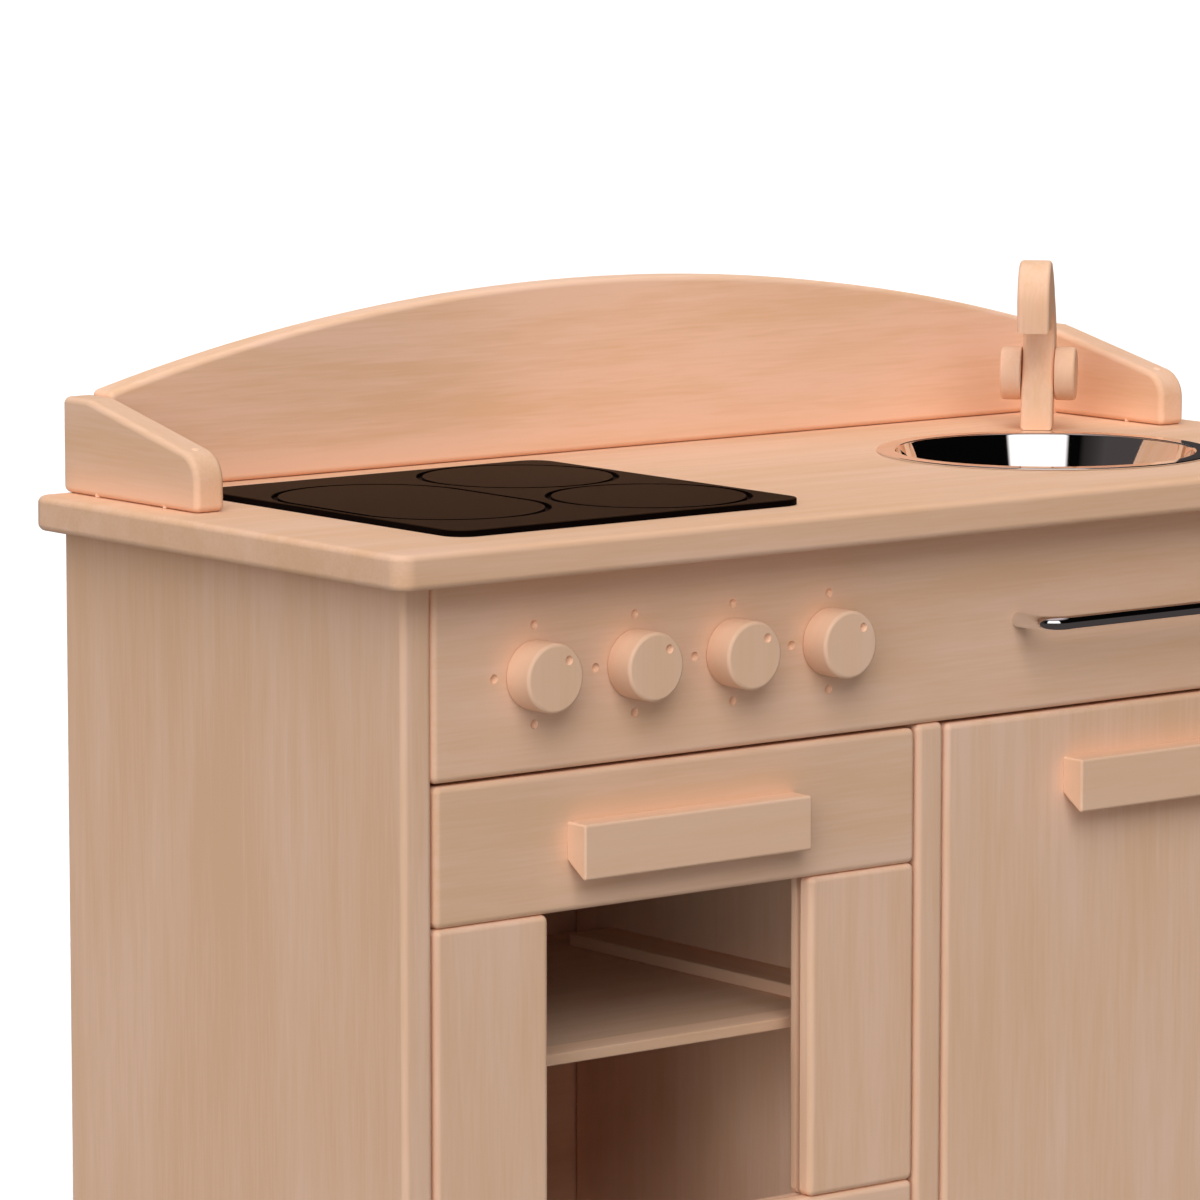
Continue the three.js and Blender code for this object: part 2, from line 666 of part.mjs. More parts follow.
// Outline of the swan neck, with the distance in front of the swivel axis and the height.
function tapOutline() {
  const front = tapFootDepth / 2;
  const spoutBack = tapSpoutFront - tapBandWidth;
  const neckFront = tapNeckBack + tapBandWidth;
  const middle = (spoutBack + neckFront) / 2;
  const crown = tapSpoutFront - 21.5;
  const spoutStart = tapSpoutFront - 1.2;
  const shape = new THREE.Shape();
  shape.moveTo(front, 0);
  shape.bezierCurveTo(front, 26, neckFront, 34, neckFront, tapNeckHeight);
  shape.bezierCurveTo(neckFront, tapNeckHeight + 8, middle - 7, tapArchHeight, middle, tapArchHeight);
  shape.bezierCurveTo(middle + 7, tapArchHeight, spoutBack, tapSpoutEnd + 6, spoutBack, tapSpoutEnd);
  shape.lineTo(spoutStart, tapSpoutEnd);
  shape.bezierCurveTo(spoutStart + 0.7, tapSpoutEnd + 5, tapSpoutFront, tapSpoutNose - 6,
    tapSpoutFront, tapSpoutNose);
  shape.bezierCurveTo(tapSpoutFront, tapSpoutNose + 11, crown + 13, tapHeight, crown, tapHeight);
  shape.bezierCurveTo(crown - 8, tapHeight, tapNeckBack + 4, tapNeckHeight + 16, tapNeckBack, tapNeckHeight);
  shape.bezierCurveTo(tapNeckBack, tapNeckHeight - 17, -front, 22, -front, 0);
  return shape.getPoints(6).slice(0, -1);
}

function makeTapBody() {
  // The profile's first axis is the forward distance, which is -Y here.
  const forward = AXIS_Y.clone().negate();
  const body = sawn('tap_body', beech, tapOutline(), board, forward, AXIS_Z, [board / 2, 0, 0]);
  const socket = rod('socket', beech, tapDowelRadius + fit, [0, 0, -board], [0, 0, tapDowelRise + fit]);
  const axleBore = rod('bore', beech, tapAxleRadius + fit,
    [-board, tapKnobBack, tapKnobHeight], [board, tapKnobBack, tapKnobHeight]);
  return carve(body, socket, axleBore);
}

function makeTapDowel() {
  const below = board + seam + fit + tapRetainerThickness;
  return rod('tap_dowel', beech, tapDowelRadius, [0, 0, -below - fit], [0, 0, tapDowelRise]);
}

// A wooden ring glued to the dowel under the worktop keeps the tap from lifting out.
function makeTapRetainer() {
  const top = -board - 2 * fit;
  const bore = tapDowelRadius + fit;
  const profile = [
    [bore, 0],
    [tapRetainerRadius, 0],
    [tapRetainerRadius, tapRetainerThickness],
    [bore, tapRetainerThickness],
    [bore, 0],
  ];
  return turned('tap_retainer', beech, profile, [0, 0, top - tapRetainerThickness], AXIS_Z, 24);
}

function makeTapAxle() {
  const reach = board / 2 + runningGap + tapAxleEngagement;
  return rod('tap_axle', beech, tapAxleRadius,
    [-reach, tapKnobBack, tapKnobHeight], [reach, tapKnobBack, tapKnobHeight]);
}

function makeTapKnob(name, side) {
  const bore = tapAxleRadius + fit;
  const edge = 2;
  const profile = [
    [0, tapAxleEngagement + fit],
    [bore, tapAxleEngagement + fit],
    [bore, 0],
    [tapKnobRadius, 0],
    ...arc(tapKnobRadius - edge, tapKnobThickness - edge, edge, 0, 90, 3).map((point) => [point.x, point.y]),
    [0, tapKnobThickness],
  ];
  const origin = [side * (board / 2 + runningGap), tapKnobBack, tapKnobHeight];
  return turned(name, beech, profile, origin, AXIS_X.clone().multiplyScalar(side));
}

function makeTap() {
  const tap = new THREE.Group();
  tap.position.set(tapX, tapY, worktopTop + fit);
  tap.rotation.z = tapTurn;
  tap.add(makeTapBody(), makeTapDowel(), makeTapRetainer(), makeTapAxle());
  tap.add(makeTapKnob('tap_knob_left', -1), makeTapKnob('tap_knob_right', 1));
  return tap;
}

// ---- Assembly ---------------------------------------------------------------------------

const kitchen = new THREE.Group();
kitchen.position.y = (frontReach - bodyDepth) / 2;

kitchen.add(
  makeLeftSidePanel(),
  makeSidePanel('side_panel_right', 1),
  makeDivider(),
  makeBottomBoard(),
  makePlinth(),
  makeBackPanel(),
  makeControlPanel(),
  makeShelf(),
);
for (const [word, side] of [['left', -1], ['right', 1]]) {
  kitchen.add(
    makeStopRail(`stop_rail_${word}`, side),
    makeShelfCleat(`shelf_cleat_${word}`, side),
    makeOvenStile(`oven_door_stile_${word}`, side),
    makeOvenPin(`oven_pin_${word}`, side),
    makeHandleScrew(`oven_handle_screw_${word}`, -1, side),
    makeHandleScrew(`cupboard_handle_screw_${word}`, 1, side),
    makeRailScrew(`towel_rail_screw_${word}`, side),
    makeWing(`wing_${word}`, side),
  );
  for (const [i, y] of wingDowelPlaces().entries()) {
    kitchen.add(makeWingDowel(`wing_dowel_${word}_${i + 1}`, side, y));
  }
}
for (const [word, bay] of [['oven', -1], ['cupboard', 1]]) {
  kitchen.add(
    makeMagnet(`${word}_magnet`, bay),
    makeStrike(`${word}_strike`, bay),
    makeHandle(`${word}_door_handle`, bay),
  );
}
for (let index = 0; index < knobCount; index += 1) {
  kitchen.add(makeKnob(index), makeKnobScrew(index));
}
kitchen.add(
  makeTowelRail(),
  makeOvenTopRail(),
  makeOvenBottomRail(),
  ovenPaneBlock('oven_door_pane', 0),
  makeCupboardPanel(),
  makeCupboardPin('cupboard_pin_top', true),
  makeCupboardPin('cupboard_pin_bottom', false),
  makeWorktop(),
  makeBacksplash(),
  makeHob(),
  makeSinkBowl(),
  makeTap(),
);

export default kitchen;
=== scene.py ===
"""Looks of the wooden toy kitchen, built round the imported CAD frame. Blender 4.5, metres, +Z up."""

import json
import math

import bmesh
import bpy
import numpy as np
from mathutils import Matrix, Vector


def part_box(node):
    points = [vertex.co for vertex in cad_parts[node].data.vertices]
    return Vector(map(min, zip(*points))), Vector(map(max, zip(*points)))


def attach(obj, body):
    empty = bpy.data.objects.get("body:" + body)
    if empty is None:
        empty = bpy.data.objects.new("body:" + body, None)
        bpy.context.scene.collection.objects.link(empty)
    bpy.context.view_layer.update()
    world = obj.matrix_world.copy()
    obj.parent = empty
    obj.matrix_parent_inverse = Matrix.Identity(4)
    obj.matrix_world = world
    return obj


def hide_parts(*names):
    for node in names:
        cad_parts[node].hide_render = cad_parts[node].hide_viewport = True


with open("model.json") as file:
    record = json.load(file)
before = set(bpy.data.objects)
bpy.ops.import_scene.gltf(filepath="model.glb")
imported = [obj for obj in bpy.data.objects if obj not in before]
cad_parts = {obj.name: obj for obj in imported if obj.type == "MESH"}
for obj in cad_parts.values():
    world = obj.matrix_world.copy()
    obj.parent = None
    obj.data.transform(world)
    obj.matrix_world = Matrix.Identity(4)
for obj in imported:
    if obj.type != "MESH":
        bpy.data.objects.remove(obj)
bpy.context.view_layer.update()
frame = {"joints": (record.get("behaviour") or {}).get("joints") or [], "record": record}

MM = 0.001
TINY = 1e-7                  # points nearer than this are one point
AXES = {"x": Vector((1, 0, 0)), "y": Vector((0, 1, 0)), "z": Vector((0, 0, 1))}
X, Y, Z = AXES["x"], AXES["y"], AXES["z"]

joints = {joint["name"]: joint for joint in frame["joints"]}

# ---- Sizes of the finish, in metres ----
CLEAR = 0.3 * MM             # clearance round pins, screws and let-in discs
CORNER_SHARE = 1.1           # a corner's radius over its edge's: below 1 the rounding would fold

BOARD_EDGE = 3.4 * MM        # rounding of the board edges
BOARD_CORNER = BOARD_EDGE * CORNER_SHARE
THIN_EDGE = 0.8 * MM         # rounding of the plywood pieces
WORKTOP_EDGE = 3.6 * MM
WORKTOP_CORNER = 10 * MM
DOOR_HEEL = 6.3 * MM         # rounding of the oven door's lower front, which turns over the bottom board
NOTCH_GAP = 0.1 * MM         # between the control panel and the divider's notch

SHELF_LIP = 16 * MM          # depth of the paler strip along the shelf's front
SHELF_LIP_HEIGHT = 0.06 * MM   # by which it stands proud
SHELF_LIP_SUNK = 0.5 * MM

BACKSPLASH_END = 52 * MM     # height at its two ends
CROWN_STEPS = 60

WING_FLAT = 23 * MM          # length of the level top behind the slope
WING_FRONT = 28 * MM         # height where the slope meets the front
WING_NOSE = 16 * MM          # radius there
WING_SHOULDER = 4 * MM       # radius where the slope meets the level top
PEG_RADIUS = 1.4 * MM        # pegs that show under the wing's rounded foot
PEG_HEIGHT = 2.2 * MM
PEG_INSET = 1.7 * MM
PLUG_RADIUS = 2.1 * MM       # plugged pin hole in each wing's sloping top
PLUG_PLACE = 13.5 * MM       # from the foot of the slope

HANDLE_EDGE = 1.4 * MM
HANDLE_BACK = 20 * MM        # height of a handle against the door
HANDLE_SPARE = 4 * MM        # length that is sawn off its back

HOB_EDGE = 0.7 * MM          # rounding round its top, and round its underside
HOB_FOOT = 0.3 * MM
HOB_CORNER = 13 * MM
RING_WIDTH = 3.4 * MM        # engraved rings in the hob
RING_DEPTH = 1.8 * MM
HALF_STEPS = 36              # steps round half a ring
RING_RADIUS = 51.7 * MM      # of the two round rings
RING_PLACE = (54 * MM, 55 * MM)    # of their middles, from the plate's
OVAL_RADIUS = 52 * MM        # of the oval ring's round ends
OVAL_PLACE = -57 * MM
OVAL_REACH = 29.5 * MM       # of its ends' middles, from the plate's

SINK_HOLE = 83.5 * MM        # radius of the cut-out in the worktop
SINK_RADIUS = 82 * MM        # inside of the bowl at its rim
SINK_LEAN = math.radians(18)   # of its wall
SINK_BEND = 24 * MM          # inner radius from the wall into the floor
SINK_SHEET = 1.2 * MM
SINK_LIP = 1.6 * MM          # radius from the flange into the wall
SINK_RIM = 0.6 * MM          # radius of the flange's outer edge

KNOB_EDGE = 1.9 * MM
KNOB_BACK_EDGE = 0.2 * MM
KNOB_MARK_RADIUS = 24.8 * MM   # from a knob's axis to the four dimples round it
DIMPLE_RADIUS = 2.4 * MM
DIMPLE_DEPTH = 2.2 * MM
POINTER_PLACE = (8.0 * MM, 8.5 * MM)   # pointer dimple in a knob's face, to the right of and above the axis

TAP_THICKNESS = 18 * MM
TAP_EDGE = 2.2 * MM
TAP_GAP = 0.5 * MM           # between the tap and its knobs
SPINDLE_BORE = 5.3 * MM      # radius of the bores for the tap's spindle
SPINDLE_DEPTH = 10.3 * MM    # of the bore in the tap's foot
TAP_KNOB_THICKNESS = 11.6 * MM
TAP_KNOB_EDGE = 2.0 * MM
TAP_KNOB_BACK_EDGE = 0.8 * MM
AXLE_BORE = 3.3 * MM         # radius of the bores for the tap's cross axle
AXLE_DEPTH = 8 * MM          # of the axle in each tap knob

DOWEL_CHAMFER = 0.6 * MM     # of dowels, pins, magnets and strikes
RETAINER_CHAMFER = 0.8 * MM

RAIL_RADIUS = 4 * MM
RAIL_BEND = 12 * MM
RAIL_FOOT = 2 * MM           # straight part of its feet
SCREW_RADIUS = 2 * MM        # of a screw's shank
SCREW_POINT = 2.5 * MM       # length of its cone
SCREW_HEAD = 2.5 * MM        # height of its head
SCREW_RIM = 0.9 * MM         # height of the head's straight edge
SCREW_DOME = 1.5 * MM        # radius above that edge
RECESS_ARM = 2.1 * MM        # cross recess: half its length, half its width, and its depth
RECESS_WIDTH = 0.42 * MM
RECESS_DEPTH = 1.5 * MM
DISC_POCKET = 5 * MM         # spare length of the cutter for a let-in disc
PANE_EDGE = 0.25 * MM

# ---- Numbers for the wood ----
WOOD_BROWN = (0.756, 0.483, 0.309, 1)
WOOD_PALE = (0.819, 0.550, 0.405, 1)
WOOD_WARMER = (1.02, 0.91, 0.82, 1)
# Painted bounce light: the orange that the wood leans to in hollows beside a lit neighbour.
PAINTED_BOUNCE_COLOUR = (0.990, 0.625, 0.425, 1)
PLYWOOD_BROWN = (0.72, 0.45, 0.28, 1)
PLYWOOD_PALE = (0.79, 0.53, 0.38, 1)
PAINTED_BOUNCE_REACH = 22 * MM         # how far the painted bounce light from a lit neighbour reaches into a hollow
KEY_LEAN = Vector((0.6, 0.5, -0.6)) * 0.8   # away from the key light, towards what it falls on

# Layers of the grain: features per metre along it, features per metre across it, strength.
WOOD_GRAIN = [
    (3, 12, 1.8),
    (5, 45, 1.5),
    (9, 130, 1.1),
    (30, 600, 1.1),
]

# Boards that are warmer, lighter or more figured than the rest: warmth, brightness, figure.
BOARD_TONES_AND_PAINTED_LIGHT = {
    "worktop": (0.40, 0.98, 1.1),
    # The backsplash's extra brightness is painted light: it stands in for light thrown up onto it by the
    # worktop.
    "backsplash": (0.24, 1.12, 1.5),
    "wing_left": (0.20, 1.01, 1.1),
    "wing_right": (0.5, 1.03, 1.1),
    "oven_shelf": (0, 0.94, 0.9),
    "tap_body": (0.3, 1.09, 1.2),
    "tap_knob_left": (0.4, 1.07, 1.0),
    "tap_knob_right": (0.4, 1.07, 1.0),
}
TURNED_TONE = (0.0, 1.01, 0.45)   # knobs and handles
# Paler plug wood, and partly a painted highlight that makes the button read as a bright spot.
PLUG_TONE_AND_PAINTED_HIGHLIGHT = (0, 1.22, 0.5)
LIP_TONE = (0, 1.13, 0.6)


# ---- Node helpers ----

def new_material(name):
    mat = bpy.data.materials.new(name)
    mat.use_nodes = True
    tree = mat.node_tree
    shader = tree.nodes["Principled BSDF"]
    return mat, tree, shader


def node(tree, kind, **values):
    """Adds a node. Keys that start with in_ set inputs; the others set properties."""
    made = tree.nodes.new(kind)
    for key, value in values.items():
        if key.startswith("in_"):
            made.inputs[key[3:].replace("_", " ")].default_value = value
        else:
            setattr(made, key, value)
    return made


def link(tree, value, socket):
    """Feeds an input with another node's output or with a plain value."""
    if isinstance(value, bpy.types.NodeSocket):
        tree.links.new(value, socket)
    else:
        socket.default_value = value


def mix_colour(tree, factor, first, second, mode="MIX"):
    made = node(tree, "ShaderNodeMix", data_type="RGBA", blend_type=mode)
    for socket, value in zip((made.inputs[0], made.inputs[6], made.inputs[7]), (factor, first, second)):
        link(tree, value, socket)
    return made.outputs[2]


def math_node(tree, operation, first, second=0.0):
    made = node(tree, "ShaderNodeMath", operation=operation)
    for socket, value in zip(made.inputs, (first, second)):
        link(tree, value, socket)
    return made.outputs[0]


def remap(tree, value, from_low, from_high, to_low, to_high):
    made = node(tree, "ShaderNodeMapRange")
    for socket, number in zip(made.inputs, (value, from_low, from_high, to_low, to_high)):
        link(tree, number, socket)
    return made.outputs[0]


def stretched_noise(tree, vector, along, across, distortion=0.0):
    """Noise drawn out along the grain. The two numbers are features per metre."""
    mapping = node(tree, "ShaderNodeMapping")
    mapping.inputs["Scale"].default_value = (along, across, across)
    link(tree, vector, mapping.inputs["Vector"])
    noise = node(tree, "ShaderNodeTexNoise", in_Scale=1.0, in_Detail=2.0, in_Distortion=distortion)
    link(tree, mapping.outputs[0], noise.inputs["Vector"])
    return noise.outputs["Fac"]


def even_noise(tree, scale, detail=2.0):
    """Noise of the same grain in every direction, fixed to the object."""
    noise = node(tree, "ShaderNodeTexNoise", in_Scale=scale, in_Detail=detail)
    link(tree, node(tree, "ShaderNodeTexCoord").outputs["Object"], noise.inputs["Vector"])
    return noise.outputs["Fac"]


def add_bump(tree, shader, height, strength, distance):
    bump = node(tree, "ShaderNodeBump", in_Strength=strength, in_Distance=distance)
    link(tree, height, bump.inputs["Height"])
    link(tree, bump.outputs[0], shader.inputs["Normal"])


def grey(tree, value):
    """The value as a colour."""
    made = node(tree, "ShaderNodeCombineColor")
    for socket in made.inputs:
        link(tree, value, socket)
    return made.outputs[0]


# ---- Materials ----

def make_wood(name, brown, pale):
    """Pale beech. Two mesh attributes steer it: 'grain' is the place in the board with X along the grain,
    and 'tone' holds the board's warmth, brightness and strength of figure, the brightness partly painted
    light on some pieces."""
    mat, tree, shader = new_material(name)
    grain = node(tree, "ShaderNodeAttribute", attribute_name="grain").outputs["Vector"]
    own = node(tree, "ShaderNodeSeparateXYZ")
    link(tree, node(tree, "ShaderNodeAttribute", attribute_name="tone").outputs["Vector"], own.inputs[0])
    figure = 0.0
    for along, across, strength in WOOD_GRAIN:
        layer = stretched_noise(tree, grain, along, across, distortion=0.3)
        figure = math_node(tree, "ADD", figure, remap(tree, layer, 0.25, 0.75, -strength / 4, strength / 4))
    figure = math_node(tree, "MULTIPLY", figure, own.outputs["Z"])
    tone = mix_colour(tree, math_node(tree, "ADD", figure, 0.5), brown, pale)
    tone = mix_colour(tree, own.outputs["X"], tone, mix_colour(tree, 1.0, tone, WOOD_WARMER, "MULTIPLY"))
    shade = mix_colour(tree, 1.0, tone, grey(tree, own.outputs["Y"]), "MULTIPLY")
    # The base colour leans to orange in hollows beside lit faces: painted bounce light.
    link(tree, mix_colour(tree, painted_bounce_light(tree), shade, PAINTED_BOUNCE_COLOUR), shader.inputs["Base Color"])
    fibres = stretched_noise(tree, grain, 45, 1500)
    link(tree, remap(tree, fibres, 0.2, 0.8, 0.56, 0.70), shader.inputs["Roughness"])
    shader.inputs["Specular IOR Level"].default_value = 0.16
    add_bump(tree, shader, fibres, 0.06, 0.12 * MM)
    return mat


def painted_bounce_light(tree):
    """Painted bounce light: 0 on open faces, rising in hollows that a lit neighbour looks into."""
    normal = node(tree, "ShaderNodeNewGeometry").outputs["Normal"]
    tilted = node(tree, "ShaderNodeVectorMath", operation="ADD")
    link(tree, normal, tilted.inputs[0])
    tilted.inputs[1].default_value = KEY_LEAN
    unit = node(tree, "ShaderNodeVectorMath", operation="NORMALIZE")
    link(tree, tilted.outputs[0], unit.inputs[0])
    hollow = node(tree, "ShaderNodeAmbientOcclusion", samples=8, in_Distance=PAINTED_BOUNCE_REACH)
    link(tree, unit.outputs[0], hollow.inputs["Normal"])
    return remap(tree, hollow.outputs["AO"], 0.74, 0.30, 0.0, 0.45)


def make_metal(name, colour, roughness, brushed=0.0):
    mat, tree, shader = new_material(name)
    fine = even_noise(tree, 900.0, 3.0)
    darker = (*[channel * 0.8 for channel in colour[:3]], 1)
    worn = mix_colour(tree, remap(tree, fine, 0.3, 0.7, 0, 0.06), colour, darker)
    link(tree, worn, shader.inputs["Base Color"])
    rough = remap(tree, fine, 0.2, 0.8, roughness, roughness + 0.03 + brushed)
    link(tree, rough, shader.inputs["Roughness"])
    shader.inputs["Metallic"].default_value = 1.0
    return mat


def make_hob_material(name, colour):
    mat, tree, shader = new_material(name)
    fine, broad = even_noise(tree, 2200.0), even_noise(tree, 14.0)
    value = math_node(tree, "MULTIPLY", remap(tree, fine, 0.3, 0.7, 0.9, 1.1),
                      remap(tree, broad, 0.3, 0.7, 0.96, 1.04))
    link(tree, mix_colour(tree, 1.0, colour, grey(tree, value), "MULTIPLY"), shader.inputs["Base Color"])
    shader.inputs["Roughness"].default_value = 0.6
    shader.inputs["Specular IOR Level"].default_value = 0.03
    add_bump(tree, shader, fine, 0.05, 0.1 * MM)
    return mat


def make_pane_material(name):
    mat, tree, shader = new_material(name)
    link(tree, remap(tree, even_noise(tree, 20.0), 0.3, 0.7, 0.03, 0.06), shader.inputs["Roughness"])
    shader.inputs["Base Color"].default_value = (0.05, 0.05, 0.05, 1)
    shader.inputs["Alpha"].default_value = 0.03
    return mat


wood = make_wood("beech", WOOD_BROWN, WOOD_PALE)
plywood = make_wood("plywood", PLYWOOD_BROWN, PLYWOOD_PALE)
chrome = make_metal("chrome", (0.86, 0.86, 0.87, 1), 0.03)
polished = make_metal("polished_steel", (0.84, 0.84, 0.84, 1), 0.02)
zinc = make_metal("screw_steel", (0.66, 0.66, 0.67, 1), 0.28, 0.08)
nickel = make_metal("magnet_steel", (0.55, 0.56, 0.58, 1), 0.22, 0.06)
hob_dark = make_hob_material("hob_plate", (0.0267, 0.0128, 0.0066, 1))
# Near-black: the colour of the plate's sawn sides, and painted shade in the ring grooves.
hob_black_and_groove_shade = make_hob_material("hob_sides_and_painted_groove_shade", (0.002, 0.001, 0.001, 1))
pane_clear = make_pane_material("clear_pane")


# ---- Outlines ----

def rectangle(width, height):
    return [(0, 0), (width, 0), (width, height), (0, height)]


def arc(x, y, radius, from_degrees, to_degrees, steps):
    """Points along an arc, ends included. 0 degrees points along the first axis, 90 along the second."""
    points = []
    for k in range(steps + 1):
        angle = math.radians(from_degrees + (to_degrees - from_degrees) * k / steps)
        points.append((x + radius * math.cos(angle), y + radius * math.sin(angle)))
    return points


def round_corners(points, radii, steps=5):
    """Replaces each corner of a polygon with an arc of its own radius."""
    result = []
    count = len(points)
    for i, corner in enumerate(points):
        radius = radii[i] if hasattr(radii, "__len__") else radii
        corner = Vector(corner)
        before = (Vector(points[i - 1]) - corner).normalized()
        after = (Vector(points[(i + 1) % count]) - corner).normalized()
        angle = before.angle(after)
        if radius <= 0 or angle > math.radians(179):
            result.append(corner)
            continue
        reach = radius / math.tan(angle / 2)
        start, end = corner + before * reach, corner + after * reach
        centre = corner + (before + after).normalized() * (radius / math.sin(angle / 2))
        first, last = start - centre, end - centre
        sweep = first.angle_signed(last)
        for k in range(steps + 1):
            turn = Matrix.Rotation(-sweep * k / steps, 2)
            result.append(centre + turn @ first)
    return result


def signed_area(points):
    return sum(a.x * b.y - b.x * a.y for a, b in zip(points, points[1:] + points[:1])) / 2


def mitres(points):
    """For each corner, the step that moves both of its edges inwards by one unit."""
    result = []
    for i, corner in enumerate(points):
        first = (corner - points[i - 1]).normalized()
        second = (points[(i + 1) % len(points)] - corner).normalized()
        left_first, left_second = Vector((-first.y, first.x)), Vector((-second.y, second.x))
        total = left_first + left_second
        result.append(total / max(1 + left_first.dot(left_second), 0.25))
    return result


# ---- Meshes ----

def mesh_object(bm, materials, name="piece"):
    bmesh.ops.recalc_face_normals(bm, faces=bm.faces)
    mesh = bpy.data.meshes.new(name)
    bm.to_mesh(mesh)
    bm.free()
    made = bpy.data.objects.new(name, mesh)
    bpy.context.scene.collection.objects.link(made)
    for mat in materials:
        mesh.materials.append(mat)
    return made


def plate(outline, depth, origin, right, up, edge, materials, steps=4, back_edge=None):
    """A board sawn to an outline, with its two rims rounded. It grows from the origin along right x up."""
    points = [Vector(p) for p in outline]
    if signed_area(points) < 0:
        points.reverse()
    through = right.cross(up)
    inward = mitres(points)
    back_edge = edge if back_edge is None else back_edge
    levels = []
    for radius, flip in ((edge, False), (back_edge, True)):
        rim = []
        for k in range(steps + 1):
            turn = math.pi / 2 * k / steps
            height = radius * (1 - math.cos(turn))
            rim.append((radius * (1 - math.sin(turn)), depth - height if flip else height))
        levels.extend(reversed(rim) if flip else rim)
    bm = bmesh.new()
    rings = []
    for inset, height in levels:
        ring = []
        for point, step in zip(points, inward):
            flat = point + step * inset
            ring.append(bm.verts.new(origin + right * flat.x + up * flat.y + through * height))
        rings.append(ring)
    count = len(points)
    for lower, upper in zip(rings, rings[1:]):
        for i in range(count):
            j = (i + 1) % count
            bm.faces.new((lower[i], lower[j], upper[j], upper[i]))
    bm.faces.new(list(reversed(rings[0])))
    bm.faces.new(rings[-1])
    return mesh_object(bm, materials)


def turned(profile, origin, direction, materials, segments=48):
    """A lathe piece. The profile's points are (radius, distance along the axis), from axis to axis."""
    axis = Vector(direction).normalized()
    side = axis.orthogonal().normalized()
    other = axis.cross(side)
    bm = bmesh.new()
    rings = []
    for radius, along in profile:
        middle = Vector(origin) + axis * along
        if radius < TINY:
            rings.append([bm.verts.new(middle)])
            continue
        ring = []
        for k in range(segments):
            angle = 2 * math.pi * k / segments
            ring.append(bm.verts.new(middle + (side * math.cos(angle) + other * math.sin(angle)) * radius))
        rings.append(ring)
    closed = profile[0] == profile[-1]
    if closed:
        for v in rings.pop():
            bm.verts.remove(v)
        rings.append(rings[0])
    for lower, upper in zip(rings, rings[1:]):
        for k in range(segments):
            n = (k + 1) % segments
            if len(lower) == 1:
                bm.faces.new((lower[0], upper[n], upper[k]))
            elif len(upper) == 1:
                bm.faces.new((lower[k], lower[n], upper[0]))
            else:
                bm.faces.new((lower[k], lower[n], upper[n], upper[k]))
    return mesh_object(bm, materials)


def rod_tool(start, end, radius, segments=32):
    """A plain round cutter between two points."""
    start, end = Vector(start), Vector(end)
    length = (end - start).length
    profile = [(0, 0), (radius, 0), (radius, length), (0, length)]
    return turned(profile, start, end - start, [], segments)


def ball_tool(centre, radius):
    """A round cutter. Its profile runs from pole to pole."""
    profile = [(0, -radius), *arc(0, 0, radius, -75, 75, 10), (0, radius)]
    return turned(profile, centre, Z, [], 20)


def box_tool(low, high):
    bm = bmesh.new()
    bmesh.ops.create_cube(bm, size=1)
    low, high = Vector(low), Vector(high)
    for v in bm.verts:
        v.co = Vector([low[i] + (v.co[i] + 0.5) * (high[i] - low[i]) for i in range(3)])
    return mesh_object(bm, [])


def swept(path, section, level, materials, closed=False):
    """A bar that follows a flat path. The section's points are (to the path's right, above the level)."""
    path = [Vector(point) for point in path]
    around = [path[-1], *path, path[0]] if closed else [path[0], *path, path[-1]]
    bm = bmesh.new()
    rings = []
    for before, point, after in zip(around, path, around[2:]):
        ahead = (after - before).normalized()
        outward = Vector((ahead.y, -ahead.x))
        ring = []
        for across, height in section:
            flat = point + outward * across
            ring.append(bm.verts.new((flat.x, flat.y, level + height)))
        rings.append(ring)
    if closed:
        rings.append(rings[0])
    else:
        bm.faces.new(rings[0])
        bm.faces.new(rings[-1])
    for lower, upper in zip(rings, rings[1:]):
        for k in range(len(section)):
            n = (k + 1) % len(section)
            bm.faces.new((lower[k], upper[k], upper[n], lower[n]))
    return mesh_object(bm, materials)


def discard(piece):
    mesh = piece.data
    bpy.data.objects.remove(piece)
    bpy.data.meshes.remove(mesh)


def cut(piece, *tools):
    """Takes the cutters out of the piece, then deletes them."""
    for tool in tools:
        change = piece.modifiers.new("cut", "BOOLEAN")
        change.operation = "DIFFERENCE"
        change.solver = "EXACT"
        change.object = tool
        change.material_mode = "TRANSFER" if tool.data.materials else "INDEX"
    settle(piece)
    for tool in tools:
        discard(tool)


def join(piece, other):
    """Adds another mesh to the piece, and deletes the other object."""
    bm = bmesh.new()
    bm.from_mesh(piece.data)
    bm.from_mesh(other.data)
    bm.to_mesh(piece.data)
    bm.free()
    discard(other)


def settle(piece):
    """Applies the modifiers, keeping the name."""
    bpy.context.view_layer.update()
    graph = bpy.context.evaluated_depsgraph_get()
    mesh = bpy.data.meshes.new_from_object(piece.evaluated_get(graph), preserve_all_data_layers=True,
                                           depsgraph=graph)
    piece.modifiers.clear()
    old = piece.data
    piece.data = mesh
    bpy.data.meshes.remove(old)
    mesh.name = piece.name


def trim(piece, point, outward):
    """Saws the piece off flat at a plane and closes the cut."""
    bm = bmesh.new()
    bm.from_mesh(piece.data)
    everything = bm.verts[:] + bm.edges[:] + bm.faces[:]
    made = bmesh.ops.bisect_plane(bm, geom=everything, plane_co=point, plane_no=outward, clear_outer=True)
    edges = [e for e in made["geom_cut"] if isinstance(e, bmesh.types.BMEdge)]
    bmesh.ops.contextual_create(bm, geom=edges)
    bmesh.ops.recalc_face_normals(bm, faces=bm.faces)
    bm.to_mesh(piece.data)
    bm.free()


